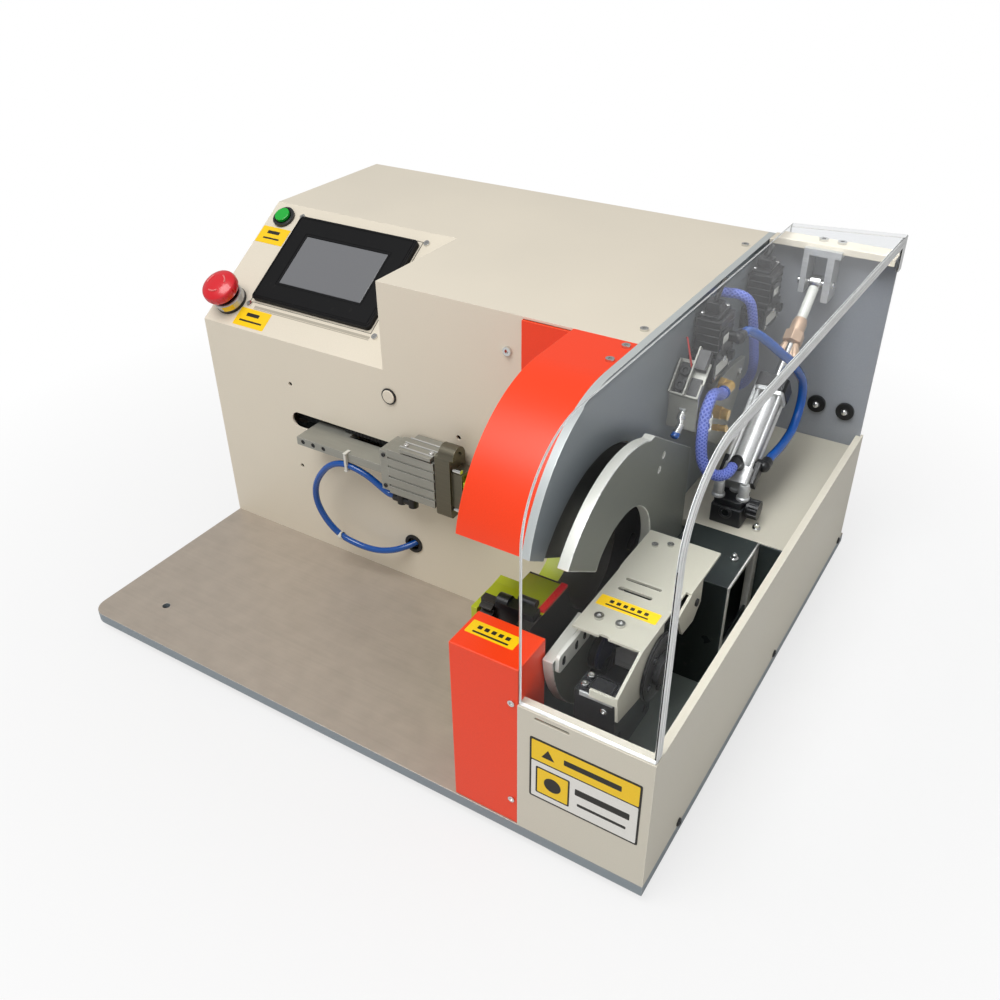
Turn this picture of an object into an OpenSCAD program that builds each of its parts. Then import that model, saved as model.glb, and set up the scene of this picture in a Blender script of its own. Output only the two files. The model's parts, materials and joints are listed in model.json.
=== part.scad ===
// Bench-top tape wrapping machine: a cream cabinet with a clamp carriage on the left,
// an orange wrapping head with a C-shaped rotor, and a guarded tape feeding bay on the right.
// Machine frame: X from the left edge of the base plate, Y from its front edge, Z from its top.

/* [Base plate] */
// Width of the base plate
plate_w = 560; // [550:5:600]
// Depth of the base plate
plate_d = 480; // [476:2:520]
// Thickness of the base plate
plate_t = 10; // [6:1:14]
// Radius of the plate's left corners
plate_corner_r = 15; // [5:1:30]
// Diameter of the bore for a wire stop
stop_hole_d = 7; // [5:0.5:9]
// Distance of the wire stop bore from the left edge
stop_hole_x = 56; // [40:1:80]
// Distance of the wire stop bore from the front edge
stop_hole_y = 40; // [30:1:60]
// Diameter of each rubber foot
foot_d = 26; // [20:1:32]
// Height of each rubber foot
foot_h = 8; // [6:1:12]
// Distance of the feet from the plate's edges
foot_inset = 34; // [26:1:50]

/* [Cabinet] */
// Thickness of the sheet metal
sheet_t = 2; // [1.5:0.1:2.5]
// Depth of the open apron in front of the cabinet
apron_d = 194; // [192:1:200]
// Height of the cabinet
cabinet_h = 296; // [290:1:310]
// Height at which the sloped control panel starts
slope_z = 217; // [205:1:225]
// Depth of the sloped control panel, seen from above
slope_run = 118; // [105:1:125]
// Width of the sloped control panel
slope_w = 211; // [205:1:215]
// Distance from the plate's back edge to the cabinet's back
back_inset = 12; // [10:1:16]
// Thickness of the side plate between cabinet and bay
side_t = 6; // [5:0.5:8]
// Width of the tape feeding bay
bay_w = 111; // [108:1:120]

/* [Controls] */
// Width of the display's bezel
bezel_w = 138; // [128:1:140]
// Height of the display's bezel
bezel_h = 97; // [88:1:99]
// How far the bezel stands off the panel
bezel_t = 6; // [3:0.5:8]
// Width of the visible screen
screen_w = 95; // [85:1:105]
// Height of the visible screen
screen_h = 54; // [48:1:62]
// Distance of the display's centre from the left edge
display_x = 110; // [104:1:114]
// Distance of the display's centre up the slope
display_s = 80; // [76:1:84]
// Diameter of the emergency stop's head
estop_head_d = 35; // [30:1:40]
// Travel of the emergency stop
estop_travel = 4; // [3:0.5:5]
// Distance of the two buttons from the left edge
button_x = 19; // [18:0.5:22]
// Distance of the emergency stop up the slope
estop_s = 25; // [22:1:30]
// Distance of the reset button up the slope
reset_s = 125; // [118:1:128]
// Diameter of the reset button's cap
reset_cap_d = 15; // [13:0.5:17]
// Travel of the reset button
reset_travel = 2.5; // [2:0.5:3]

/* [Wrapping head] */
// Height of the wrapping axis over the plate
axis_z = 146; // [143:1:149]
// Distance of the wrapping axis from the front edge
axis_y = 132; // [131:0.5:134]
// Module of all gear teeth
tooth_module = 2; // [2:1:2]
// Teeth of the C-shaped rotor
rotor_teeth = 84; // [82:2:84]
// Teeth of each drive pinion
pinion_teeth = 22; // [20:2:24]
// Teeth of the motor's gear
motor_teeth = 40; // [38:2:42]
// Width of the gear teeth
tooth_w = 10; // [8:0.5:12]
// Backlash of the teeth at the pitch circle
backlash = 0.5; // [0.3:0.05:0.8]
// Radius of the rotor's bore around the wire bundle
rotor_bore_r = 36; // [30:1:40]
// Radius of the rotor's flange in the side plate
flange_r = 92; // [90:0.5:92]
// Width of the head between head plate and side plate
head_w = 44; // [42:1:46]
// Radius of the fixed track on which the rotor runs
track_r = 60; // [56:1:64]
// Running clearance of shafts and tracks
run_gap = 0.05; // [0.03:0.01:0.08]
// Radius of the hood's round nose
hood_r = 109; // [107:1:110]
// Width of the hood
hood_w = 51; // [51:1:52]
// Height of the lower cover
lower_h = 150; // [140:1:150]
// Width of the lower cover
lower_w = 54; // [50:1:55]
// Depth of the lower cover
lower_d = 37; // [34:1:37]

/* [Feeding bay] */
// Height of the tray's walls
tray_h = 120; // [116:1:124]
// Height of the rear deck
deck_h = 108; // [104:1:112]
// Distance of the rear deck's front edge from the front
deck_y = 271; // [268:1:276]
// Radius of the ring plate
ring_r = 101; // [99:0.5:102]
// Radius of the ring plate's central opening
ring_bore_r = 50; // [46:1:52]
// Thickness of the ring plate
ring_t = 8; // [6:0.5:9]
// Gap between side plate and ring plate
ring_gap = 13; // [13:0.5:15]
// Height of the feed bracket's top
bracket_h = 152; // [150:1:154]
// Width of the feed bracket's top
bracket_w = 56; // [52:1:60]
// Radius of the tape reel's disc
reel_r = 25; // [22:1:28]
// Thickness of the clear guard
guard_t = 4; // [3:0.5:5]
// Height of the guard's highest line over the cabinet
guard_rise = 32; // [26:1:38]
// Radius of the guard's bend
guard_bend_r = 61; // [50:1:66]
// Fall of the guard's top pane towards the back, in degrees
guard_fall = 2.2; // [0:0.1:4]
// Height of the feeding cylinder's lower end over the deck
feed_low = 30.9; // [28:0.1:34]
// Stroke of the tape feeding cylinder
feed_stroke = 20; // [15:1:25]

/* [Clamp carriage] */
// Height of the carriage slot's middle
slot_z = 137.5; // [134:0.5:140]
// Height of the carriage slot
slot_h = 16; // [14:1:18]
// Left end of the carriage slot
slot_x0 = 97; // [90:1:100]
// Right end of the carriage slot
slot_x1 = 290; // [280:1:300]
// Left end of the carriage plate
carriage_x = 126; // [124:1:130]
// Length of the clamp cylinder's body
clamp_l = 48; // [44:1:52]
// Height of the clamp cylinder's body
clamp_h = 44; // [40:1:48]
// Stroke of the clamp cylinder
clamp_stroke = 20; // [10:1:25]
// Outer diameter of the clamp's air hose
hose_d = 6; // [4:0.5:8]

/* [Hidden] */
$fn = 64;
eps = 0.01;
// Gap that keeps a piece off a curved or moving neighbour
seat = 0.3;

// Colours
cream = [0.86, 0.83, 0.77];
orange = [1, 0.28, 0.1];
lime = [0.66, 0.7, 0.1];
plate_grey = [0.42, 0.45, 0.48];
dark_grey = [0.25, 0.27, 0.27];
steel = [0.66, 0.62, 0.57];
aluminium = [0.75, 0.76, 0.76];
black = [0.08, 0.08, 0.09];
brass = [0.78, 0.62, 0.32];
blue = [0.05, 0.25, 0.75];
red = [0.88, 0.1, 0.15];

// Sides of the cabinet and the bay
cab_back = plate_d - back_inset;
side_r = plate_w - bay_w;
side_x = side_r - side_t;
slope_a = atan((cabinet_h - slope_z) / slope_run);

// The wrapping head, from the hood's left wall to the ring plate
hood_x = side_x - hood_w;
head_t = 5;
head_r = side_x - head_w;
head_x = head_r - head_t;
ring_x = side_r + ring_gap;
ring_right = ring_x + ring_t;
lower_x1 = ring_x - 1;
lower_x0 = lower_x1 - lower_w;
lower_y0 = 1;
// Nose centre of the hood, and the angle of the mouth's upper edge
hood_cy = 142;
hood_cz = cabinet_h - hood_r;
mouth_hi = 146;
mouth_lo = 185;
jaw_rise = 3;
cheek_y = 48;
track_t = 15;
track_in = 44;

// Gear train: pitch radii, centre distances and the pinions' angle behind the axis
rotor_pr = tooth_module * rotor_teeth / 2;
pinion_pr = tooth_module * pinion_teeth / 2;
motor_pr = tooth_module * motor_teeth / 2;
rotor_dist = rotor_pr + pinion_pr;
motor_dist = motor_pr + pinion_pr;
gear_x = head_r + 3;
shaft_r = 4;
motor_shaft_r = 4;

// Phase of gear b, in mesh with gear a whose tooth points at phase_a, in direction dir
function mesh_phase(phase_a, dir, teeth_a, teeth_b) =
  dir + 180 - (phase_a - dir) * teeth_a / teeth_b + 180 / teeth_b;
function motor_dir(angle) = -asin(rotor_dist * sin(angle) / motor_dist);
function motor_phase(angle) =
  mesh_phase(mesh_phase(0, angle, rotor_teeth, pinion_teeth), motor_dir(angle), pinion_teeth, motor_teeth);
// Distance of the motor gear's phase from the nearest symmetric one, in half pitches
function phase_error(angle) =
  let (half = 180 / motor_teeth, f = motor_phase(angle) / half) f - round(f);
// The angle near the wanted one at which both pinions mesh with the motor's gear
function mesh_angle(lo, hi, n) =
  let (mid = (lo + hi) / 2)
  n == 0 ? mid
  : phase_error(lo) * phase_error(mid) <= 0 ? mesh_angle(lo, mid, n - 1) : mesh_angle(mid, hi, n - 1);
function first_bracket(a, step) =
  phase_error(a) * phase_error(a + step) <= 0 && abs(phase_error(a) - phase_error(a + step)) < 0.5
  ? a : first_bracket(a + step, step);
bracket_start = first_bracket(25, 0.05);
pinion_a = mesh_angle(bracket_start, bracket_start + 0.05, 30);
upper_phase = mesh_phase(0, pinion_a, rotor_teeth, pinion_teeth);
lower_phase = mesh_phase(0, -pinion_a, rotor_teeth, pinion_teeth);
drive_phase = mesh_phase(upper_phase, motor_dir(pinion_a), pinion_teeth, motor_teeth);
pinion_y = axis_y + rotor_dist * cos(pinion_a);
pinion_dz = rotor_dist * sin(pinion_a);
drive_y = pinion_y + motor_dist * cos(motor_dir(pinion_a));

// Clamp carriage, in front of the cabinet's face
clamp_y0 = apron_d - 29;
clamp_y1 = apron_d - 3;
arm_h = 8;
arm_z = slot_z - 2;
arm_w = 42;
spacer_t = 8;
clamp_x0 = carriage_x + 106;
clamp_x1 = clamp_x0 + clamp_l;
clamp_z = slot_z;
end_t = 15;
rod_r = 3;
rod_dz = 12;
jaw_x0 = clamp_x1 + end_t + 1;

// Tape feeding cylinder: its pin, its inclination and its lower end
feed_x = side_r + 47;
pin_y = cab_back - 16;
pin_z = cabinet_h - 34;
body_l = 100;
body_end = 100;
feed_l = body_end + body_l;
feed_angle = asin((pin_z - deck_h - feed_low) / feed_l);
block_w = 27;
block_lead = 14.37;
block_y = pin_y - feed_l * cos(feed_angle) - block_lead;
block_d = 26;
rod_l = feed_l - 10 - feed_stroke;
knob_y = block_y + 13;
knob_z = deck_h + 15;

// Openings and fittings of the cabinet's front face and rear cover
FACE_HOLES = [[slot_x0 + 3, slot_z + 36.5], [slot_x1 - 3, slot_z + 35.5], [slot_x0 + 4, slot_z - 51.5]];
plug_x = 216;
plug_z = 193;
inlet_x = 60;
switch_x = 104;
air_x = 160;
inlet_z = 45;

// Holes of the side plate, and the valves on it
PLATE_HOLES = [[336, cabinet_h - 12], [(336 + cab_back) / 2 - 11, 176]];
VALVES = [[300, 258], [cab_back - 50, 255]];
brass_y = 303;
brass_z = 222;
drain_y = 299;
drain_z = 199;
sensor_y = 222;
sensor_z = 222;

// Tape feeding bay: floor, spacers of the ring plate, box, bulkhead holes, reel and roller
floor_t = 1.5;
SPACERS = [[208, 210], [240, 150], [222, 52], [116, 22]];
box_x1 = ring_right + 60;
box_y0 = deck_y - 70;
BULKHEADS = [[side_r + 64, deck_h + 35], [side_r + 91, deck_h + 34]];
flange_d = 18;
bracket_x0 = ring_right + 0.2;
bracket_x1 = bracket_x0 + bracket_w;
bracket_y0 = 57;
bracket_y1 = 183;
cheek_x = bracket_x1 - 4;
reel_y = 82;
reel_z = bracket_h - 32;
roller_y = 140;
roller_z = bracket_h - 16;

// The machine's coordinates of a point in the feeding cylinder's own frame
function feed_point(y, z) = [feed_x, pin_y + z * cos(feed_angle) + y * sin(feed_angle),
  pin_z + z * sin(feed_angle) - y * cos(feed_angle)];
elbow_a = feed_point(-22, 14 - feed_l);
elbow_b = feed_point(0, 24 - feed_l);
// A route whose two ends are drawn to the fittings a and b, and the points between with them
function laid(route, a, b) = let (last = len(route) - 1)
  [for (i = [0:last]) route[i] + (1 - i / last) * (a - route[0]) + i / last * (b - route[last])];

// Route of the clamp's air hose, from its elbow round the loop and into the cabinet's face
hose_x = 232;
hose_z = 42;
FRONT_HOSE = laid([
  [229.7, 174, 106.5], [221, 174, 107.5], [203, 171, 120], [187, 169, 125.5], [173, 168, 125],
  [158, 167, 116], [145, 166, 97], [141, 167, 76], [147, 169, 56], [160, 172, 40], [178, 175, 33],
  [198, 177.5, 32], [214, 181.5, 35], [225, 187.5, 39], [232, 194.5, 42], [237, 202, 45], [241, 210, 47]
], [clamp_x0 - 2.3, clamp_y0 + 9, clamp_z - clamp_h / 2 - 9], [hose_x + 9, apron_d + 16, hose_z + 5]);
// Hoses between the valves and the feeding cylinder, which bend as it slides
FEED_HOSE_A = laid([
  [478, 292.7, 222], [478, 284, 223], [478, 272, 229], [478.5, 261, 231], [479, 251, 225], [480, 246, 212],
  [481, 245, 197], [483, 247, 184], [487, 252, 173], [492, 261, 166], [496, 271, 164.8], [496, 281.5, 164.8]
], [ring_right + 8, brass_y - 10.3, brass_z], [feed_x, elbow_a[1] - 10.4, elbow_a[2]]);
FEED_HOSE_B = laid([
  [513, 322.7, 153.6], [513, 332, 153.5], [514, 348, 153], [514, 366, 152.5], [514, 382, 155],
  [513.5, 395, 163], [513, 402, 178], [512, 399, 194], [510, 387, 208], [507, 374, 220],
  [501, 360, 232], [493, 349, 244], [485, 337, 255], [480, 326, 261], [479, 316.3, 262]
], [feed_x + 17, elbow_b[1] + 9.4, elbow_b[2]], [side_r + 30, VALVES[0][0] + 16.3, VALVES[0][1] + 4]);
// Braided sleeve between two holes of the side plate
VALVE_HOSE = laid([
  [446, 336, 284], [456, 336, 285], [466, 339, 284], [473, 345, 276], [475, 353, 256],
  [475, 363, 235], [474, 374, 212], [469, 384, 192], [458, 390, 178], [446, 391, 176]
], [side_x + 3, PLATE_HOLES[0][0], PLATE_HOLES[0][1]], [side_x + 3, PLATE_HOLES[1][0], PLATE_HOLES[1][1]]);

module machine() {
  translate([-plate_w / 2, -plate_d / 2, foot_h + plate_t]) children();
}
// A YZ outline extruded from x0 to x1
module along_x(x0, x1) {
  translate([x0, 0, 0]) rotate([90, 0, 90]) linear_extrude(x1 - x0) children();
}
// An XZ outline extruded from y0 to y1
module along_y(y0, y1) {
  translate([0, y1, 0]) rotate([90, 0, 0]) linear_extrude(y1 - y0) children();
}
module block(x0, x1, y0, y1, z0, z1) {
  translate([x0, y0, z0]) cube([x1 - x0, y1 - y0, z1 - z0]);
}
module rod_x(x0, x1, y, z, r) {
  translate([x0, y, z]) rotate([0, 90, 0]) cylinder(r = r, h = x1 - x0);
}
module rod_y(y0, y1, x, z, r) {
  translate([x, y1, z]) rotate([90, 0, 0]) cylinder(r = r, h = y1 - y0);
}
module rod_z(z0, z1, x, y, r) {
  translate([x, y, z0]) cylinder(r = r, h = z1 - z0);
}
// A plain rectangle with round corners
module round_rect(w, h, r) {
  union() {
    square([w - 2 * r, h], center = true);
    square([w, h - 2 * r], center = true);
    for (x = [-1, 1], y = [-1, 1]) translate([x * (w / 2 - r), y * (h / 2 - r)]) circle(r);
  }
}
// A slot outline with round ends, between two points on one level
module slot_shape(x0, x1, y, h) {
  union() {
    translate([x0 + h / 2, y - h / 2]) square([x1 - x0 - h, h]);
    translate([x0 + h / 2, y]) circle(h / 2);
    translate([x1 - h / 2, y]) circle(h / 2);
  }
}
// The frame of the sloped control panel: x to the right, y up the slope, z out of it
module on_slope(x, s) {
  translate([0, apron_d, slope_z]) rotate([slope_a, 0, 0]) translate([x, s, 0]) children();
}
// The frame of the feeding cylinder: z up along its axis from the pin's centre
module on_feed() {
  translate([feed_x, pin_y, pin_z]) rotate([feed_angle - 90, 0, 0]) children();
}
// A socket screw's head, standing on z = 0
module screw_head(r, h) {
  difference() {
    cylinder(r = r, h = h);
    translate([0, 0, h * 0.4]) cylinder(r = r * 0.5, h = h, $fn = 6);
  }
}

// Angle by which an involute from the base circle rb has turned at the radius r
function inv_angle(rb, r) = let (a = acos(min(1, rb / r))) tan(a) * 180 / PI - a;
// Involute gear outline with one tooth's middle on the x axis
module gear_shape(teeth, m) {
  pr = m * teeth / 2;
  rb = pr * cos(20);
  tip = pr + 0.9 * m;
  root = pr - 1.2 * m;
  half = 90 / teeth - backlash / 2 / pr * 180 / PI + inv_angle(rb, pr);
  flank = [max(rb, root + 0.3), pr - 0.4 * m, pr + 0.25 * m, tip];
  polygon([for (i = [0:teeth - 1]) let (c = i * 360 / teeth) each concat(
    [let (a = c - half - 0.15) root * [cos(a), sin(a)]],
    [for (r = flank) let (a = c - half + inv_angle(rb, max(r, rb))) r * [cos(a), sin(a)]],
    [for (k = [3:-1:0]) let (r = flank[k], a = c + half - inv_angle(rb, max(r, rb))) r * [cos(a), sin(a)]],
    [let (a = c + half + 0.15) root * [cos(a), sin(a)]]
  )]);
}

// Tube swept along a smooth curve through hand-placed points
function curve_at(a, b, c, d, t) =
  0.5 * (2 * b + (c - a) * t + (2 * a - 5 * b + 4 * c - d) * t * t + (3 * b - a - 3 * c + d) * t * t * t);
function smooth_route(p, n) = let (last = len(p) - 1) concat(
  [for (i = [0:last - 1], k = [0:n - 1])
    curve_at(p[max(i - 1, 0)], p[i], p[i + 1], p[min(i + 2, last)], k / n)], [p[last]]);
function unit(v) = v / norm(v);
function tangents(p) = let (last = len(p) - 1)
  [for (i = [0:last]) unit(p[min(i + 1, last)] - p[max(i - 1, 0)])];
function carried(t, i, n) = i == len(t) ? [] :
  let (u = unit(n - (n * t[i]) * t[i])) concat([u], carried(t, i + 1, u));
module tube(route, d, sides, steps) {
  p = smooth_route(route, steps);
  t = tangents(p);
  n = carried(t, 0, [0.1, 0.2, 1]);
  rings = [for (i = [0:len(p) - 1], k = [0:sides - 1]) let (a = 360 * k / sides)
    p[i] + d / 2 * (cos(a) * n[i] + sin(a) * cross(t[i], n[i]))];
  last = (len(p) - 1) * sides;
  polyhedron(rings, concat(
    [[for (k = [0:sides - 1]) k]],
    [for (i = [0:len(p) - 2], k = [0:sides - 1]) let (a = i * sides + k, b = i * sides + (k + 1) % sides)
      [a, a + sides, b + sides, b]],
    [[for (k = [sides - 1:-1:0]) last + k]]));
}

// Base plate and feet
module base_plate() {
  color(steel) machine() difference() {
    translate([0, 0, -plate_t]) linear_extrude(plate_t) union() {
      translate([plate_corner_r, 0]) square([plate_w - plate_corner_r, plate_d]);
      translate([0, plate_corner_r]) square([plate_w, plate_d - 2 * plate_corner_r]);
      for (y = [plate_corner_r, plate_d - plate_corner_r])
        translate([plate_corner_r, y]) circle(plate_corner_r);
    }
    rod_z(-plate_t - 1, 1, stop_hole_x, stop_hole_y, stop_hole_d / 2);
    for (x = [foot_inset, plate_w - foot_inset], y = [foot_inset, plate_d - foot_inset])
      rod_z(-plate_t - 1, -plate_t / 2, x, y, 3 + run_gap);
  }
}
module rubber_feet() {
  color(black) machine() for (x = [foot_inset, plate_w - foot_inset], y = [foot_inset, plate_d - foot_inset])
    translate([x, y, -plate_t]) union() {
      rotate_extrude() polygon([[0, -foot_h], [foot_d / 2 - 1.5, -foot_h], [foot_d / 2, -foot_h + 1.5],
        [foot_d / 2 - 2.5, 0], [0, 0]]);
      cylinder(r = 3, h = plate_t / 2 - 0.5);
    }
}

// Cabinet outline in YZ, drawn in by t on every closed side
module low_outline(t) {
  rise = tan(slope_a);
  drop = t / cos(slope_a);
  polygon([[apron_d + t, -eps], [cab_back + t, -eps], [cab_back + t, cabinet_h - t],
    [apron_d + (cabinet_h - t - slope_z + drop) / rise, cabinet_h - t],
    [apron_d + t, slope_z - drop + t * rise]]);
}
module cabinet_shell() {
  color(cream) machine() difference() {
    union() {
      intersection() {
        along_x(0, slope_w + sheet_t) low_outline(0);
        block(0, plate_w, 0, cab_back, 0, cabinet_h);
      }
      block(slope_w, side_x, apron_d, cab_back, 0, cabinet_h);
    }
    translate([0, 0, -1]) intersection() {
      translate([0, 0, 1]) along_x(sheet_t, side_x + 1) low_outline(sheet_t);
      block(0, plate_w, 0, plate_d, 0, cabinet_h + 1);
    }
    block(slope_w + sheet_t, side_x + 1, apron_d + sheet_t, cab_back + 1, -1, cabinet_h - sheet_t);
    block(sheet_t, side_x + 1, apron_d + sheet_t, cab_back + 1, -1, slope_z - 10);
    // Opening for the wrapping head, and the recess for the hood's flange
    block(head_x - 2, side_x + 1, apron_d - 1, apron_d + sheet_t + 1, -1, cabinet_h - sheet_t);
    block(hood_x - 43, side_x + 1, apron_d - 1, apron_d + sheet_t + 1, axis_z + 54, cabinet_h - sheet_t);
    // Carriage slot, hose hole, plug hole and screw holes in the front face
    along_y(apron_d - 1, apron_d + sheet_t + 1) slot_shape(slot_x0, slot_x1, slot_z, slot_h);
    rod_y(apron_d - 1, apron_d + sheet_t + 1, hose_x, hose_z, 8);
    rod_y(apron_d - 1, apron_d + sheet_t + 1, plug_x, plug_z, 6);
    for (p = FACE_HOLES) rod_y(apron_d - 1, apron_d + sheet_t + 1, p[0], p[1], 2.2);
    // Openings in the sloped panel
    on_slope(display_x, display_s) translate([5 - bezel_w / 2, 5 - bezel_h / 2, -8])
      cube([bezel_w - 10, bezel_h - 10, 16]);
    on_slope(button_x, estop_s) translate([0, 0, -8]) cylinder(r = 11, h = 16);
    on_slope(button_x, reset_s) translate([0, 0, -8]) cylinder(r = 8, h = 16);
  }
}

// Rear cover with its louvres and the openings for the inlets
module rear_cover() {
  louvre_n = 9;
  louvre_x0 = side_x - 193;
  top = cabinet_h - sheet_t - seat;
  color(cream) machine() difference() {
    union() {
      block(sheet_t + seat, side_x - seat, cab_back - sheet_t, cab_back, 1, top);
      for (x = [sheet_t + seat, side_x - seat - sheet_t])
        block(x, x + sheet_t, cab_back - 14, cab_back - sheet_t + eps, 1, top);
      // Housing of the rocker switch
      for (x = [switch_x - 9, switch_x + 7])
        block(x, x + 2, cab_back - 14, cab_back - sheet_t + eps, inlet_z - 10, inlet_z + 10);
      block(switch_x - 9, switch_x + 9, cab_back - 15, cab_back - 13, inlet_z - 10, inlet_z + 10);
    }
    rod_x(switch_x - 10, switch_x + 10, cab_back - 7, inlet_z, 1.5 + run_gap);
    for (i = [0:louvre_n - 1])
      along_y(cab_back - 4, cab_back + 1) slot_shape(louvre_x0, louvre_x0 + 100, cabinet_h - 106 + i * 9, 4);
    block(inlet_x - 14, inlet_x + 14, cab_back - 4, cab_back + 1, inlet_z - 10, inlet_z + 10);
    block(switch_x - 6.8, switch_x + 6.8, cab_back - 4, cab_back + 1, inlet_z - 9.8, inlet_z + 9.8);
    rod_y(cab_back - 4, cab_back + 1, air_x, inlet_z, 8);
  }
}
module power_inlet() {
  color(black) machine() difference() {
    union() {
      along_y(cab_back, cab_back + 3) translate([inlet_x, inlet_z]) round_rect(36, 27, 3);
      block(inlet_x - 13.7, inlet_x + 13.7, cab_back - 24, cab_back, inlet_z - 9.7, inlet_z + 9.7);
    }
    block(inlet_x - 11.5, inlet_x + 11.5, cab_back - 15, cab_back + 4, inlet_z - 8, inlet_z + 8);
  }
}
module rocker_switch() {
  color(red) machine() union() {
    translate([switch_x, cab_back - 4, inlet_z]) rotate([0, 90, 0]) translate([0, 0, -6.5]) linear_extrude(13)
      polygon([[-8, 0], [-7.5, 5], [0, 3], [7.5, 2], [8, -4], [4, -7], [-4, -7], [-8, -3]]);
    rod_x(switch_x - 8.5, switch_x + 8.5, cab_back - 7, inlet_z, 1.5);
  }
}
module air_inlet() {
  color(brass) machine() difference() {
    union() {
      rod_y(cab_back - 16, cab_back, air_x, inlet_z, 7.7);
      translate([air_x, cab_back + 4, inlet_z]) rotate([90, 0, 0]) cylinder(r = 10, h = 4, $fn = 6);
      rod_y(cab_back + 4, cab_back + 11, air_x, inlet_z, 7);
    }
    rod_y(cab_back - 5, cab_back + 12, air_x, inlet_z, 4);
    rod_y(cab_back - 17, cab_back - 4, air_x, inlet_z, 2.5);
  }
}

// Control panel
module display_bezel() {
  color(black) machine() on_slope(display_x, display_s) difference() {
    union() {
      linear_extrude(bezel_t - 1) round_rect(bezel_w, bezel_h, 4);
      translate([0, 0, bezel_t - 1 - eps]) linear_extrude(1 + eps) round_rect(bezel_w - 3, bezel_h - 3, 3);
      translate([-bezel_w / 2 + 6, -bezel_h / 2 + 6, -30]) cube([bezel_w - 12, bezel_h - 12, 30]);
    }
    translate([0, 0, bezel_t - 1.4]) linear_extrude(3)
      square([screen_w + 0.4, screen_h + 0.4], center = true);
  }
}
module display_screen() {
  color([0.5, 0.5, 0.52]) machine() on_slope(display_x, display_s)
    translate([0, 0, bezel_t - 1.4]) linear_extrude(0.9) square([screen_w, screen_h], center = true);
}
module estop_base() {
  color(black) machine() on_slope(button_x, estop_s) difference() {
    union() {
      cylinder(r = 15, h = 3);
      cylinder(r = 12.5, h = 11);
      translate([0, 0, -28]) cylinder(r = 10.7, h = 29);
      translate([-14, -12, -58]) cube([28, 24, 31]);
    }
    translate([0, 0, -20]) cylinder(r = 6 + run_gap, h = 40);
  }
}
module estop_stem() {
  color(red) machine() on_slope(button_x, estop_s)
    translate([0, 0, -14]) cylinder(r = 6, h = 26 + estop_travel);
}
module estop_head() {
  top = 11 + estop_travel + 1;
  color(red) machine() on_slope(button_x, estop_s) difference() {
    translate([0, 0, top]) rotate_extrude() polygon(concat([[0, 0], [estop_head_d / 2 - 3, 0]],
      [for (a = [-60:20:60]) [estop_head_d / 2 - 2.5 + 2.5 * cos(a), 5 + 5 * sin(a)]],
      [[estop_head_d / 2 - 4, 11], [estop_head_d / 4, 13], [0, 13.6]]));
    for (k = [0:17]) rotate(k * 20) translate([estop_head_d / 2 + 0.6, 0, top - 1])
      cylinder(r = 1.2, h = 11, $fn = 16);
  }
}
module reset_bezel() {
  color(black) machine() on_slope(button_x, reset_s) difference() {
    union() {
      cylinder(r = reset_cap_d / 2 + 3.5, h = 2.5);
      translate([0, 0, -26]) cylinder(r = 7.7, h = 27);
    }
    translate([0, 0, -6]) cylinder(r = reset_cap_d / 2 - 2 + run_gap, h = 10);
    translate([0, 0, 0.6]) cylinder(r = reset_cap_d / 2 + 0.2, h = 10);
  }
}
module reset_cap() {
  color([0.05, 0.65, 0.25]) machine() on_slope(button_x, reset_s) union() {
    translate([0, 0, 0.6 + reset_travel + 0.3]) cylinder(r = reset_cap_d / 2, h = 3);
    translate([0, 0, -2]) cylinder(r = reset_cap_d / 2 - 2, h = 6);
  }
}

// Rubber grommet at the hose hole and the plug above the carriage slot
module front_grommets() {
  color(black) machine() union() {
    difference() {
      union() {
        rod_y(apron_d - 1.5, apron_d, hose_x, hose_z, 9.5);
        rod_y(apron_d - eps, apron_d + sheet_t + 1, hose_x, hose_z, 7.8);
      }
      rod_y(apron_d - 3, apron_d + 6, hose_x, hose_z, hose_d / 2 + 3.2);
    }
    difference() {
      union() {
        rod_y(apron_d - 1.5, apron_d, plug_x, plug_z, 7.5);
        rod_y(apron_d - eps, apron_d + sheet_t + 1, plug_x, plug_z, 5.8);
      }
      rod_y(apron_d - 3, apron_d - 0.7, plug_x, plug_z, 4.5);
    }
  }
}
module cover_screws() {
  color(aluminium) machine() union() {
    for (p = [[39, 130], [185, 130], [40, 27], [186.5, 27.5]])
      on_slope(p[0], p[1]) screw_head(2.8, 1.6);
    for (y = [217, 423]) translate([side_x - 6, y, cabinet_h]) screw_head(3.2, 1.8);
    for (y = [160, 185]) translate([side_x - 5, y, hood_cz + hood_r]) screw_head(3.2, 1.8);
    translate([hood_x - 56, apron_d, cabinet_h - 31]) rotate([90, 0, 0]) screw_head(3.6, 2.4);
    for (z = [24, lower_h - 31]) translate([lower_x1 - 5, lower_y0, z]) rotate([90, 0, 0]) screw_head(2.6, 1);
    for (x = [12, 28]) translate([bracket_x0 + x, bracket_y0 + 16, bracket_h]) screw_head(3.4, 2.2);
    for (p = [[11, 17], [21, 11]])
      translate([bracket_x0 + p[0], bracket_y1 - p[1], bracket_h]) screw_head(2.6, 1.6);
    for (y = [deck_y - 32, deck_y + 18]) translate([box_x1 - 9, y, deck_h]) screw_head(3, 2);
    for (x = [feed_x - 2, feed_x + 14]) translate([x, cab_back - 8, cabinet_h]) screw_head(4, 3);
  }
}

// Outline of the head in YZ: the round nose and the straight back
module nose_outline(r, back_y, low_z) {
  intersection() {
    union() {
      translate([hood_cy, hood_cz]) circle(r, $fn = 128);
      translate([hood_cy, low_z]) square([back_y - hood_cy, hood_cz + r - low_z]);
      translate([hood_cy - r, low_z]) square([r, hood_cz - low_z]);
    }
    translate([0, low_z]) square([back_y, cabinet_h]);
  }
}
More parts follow.
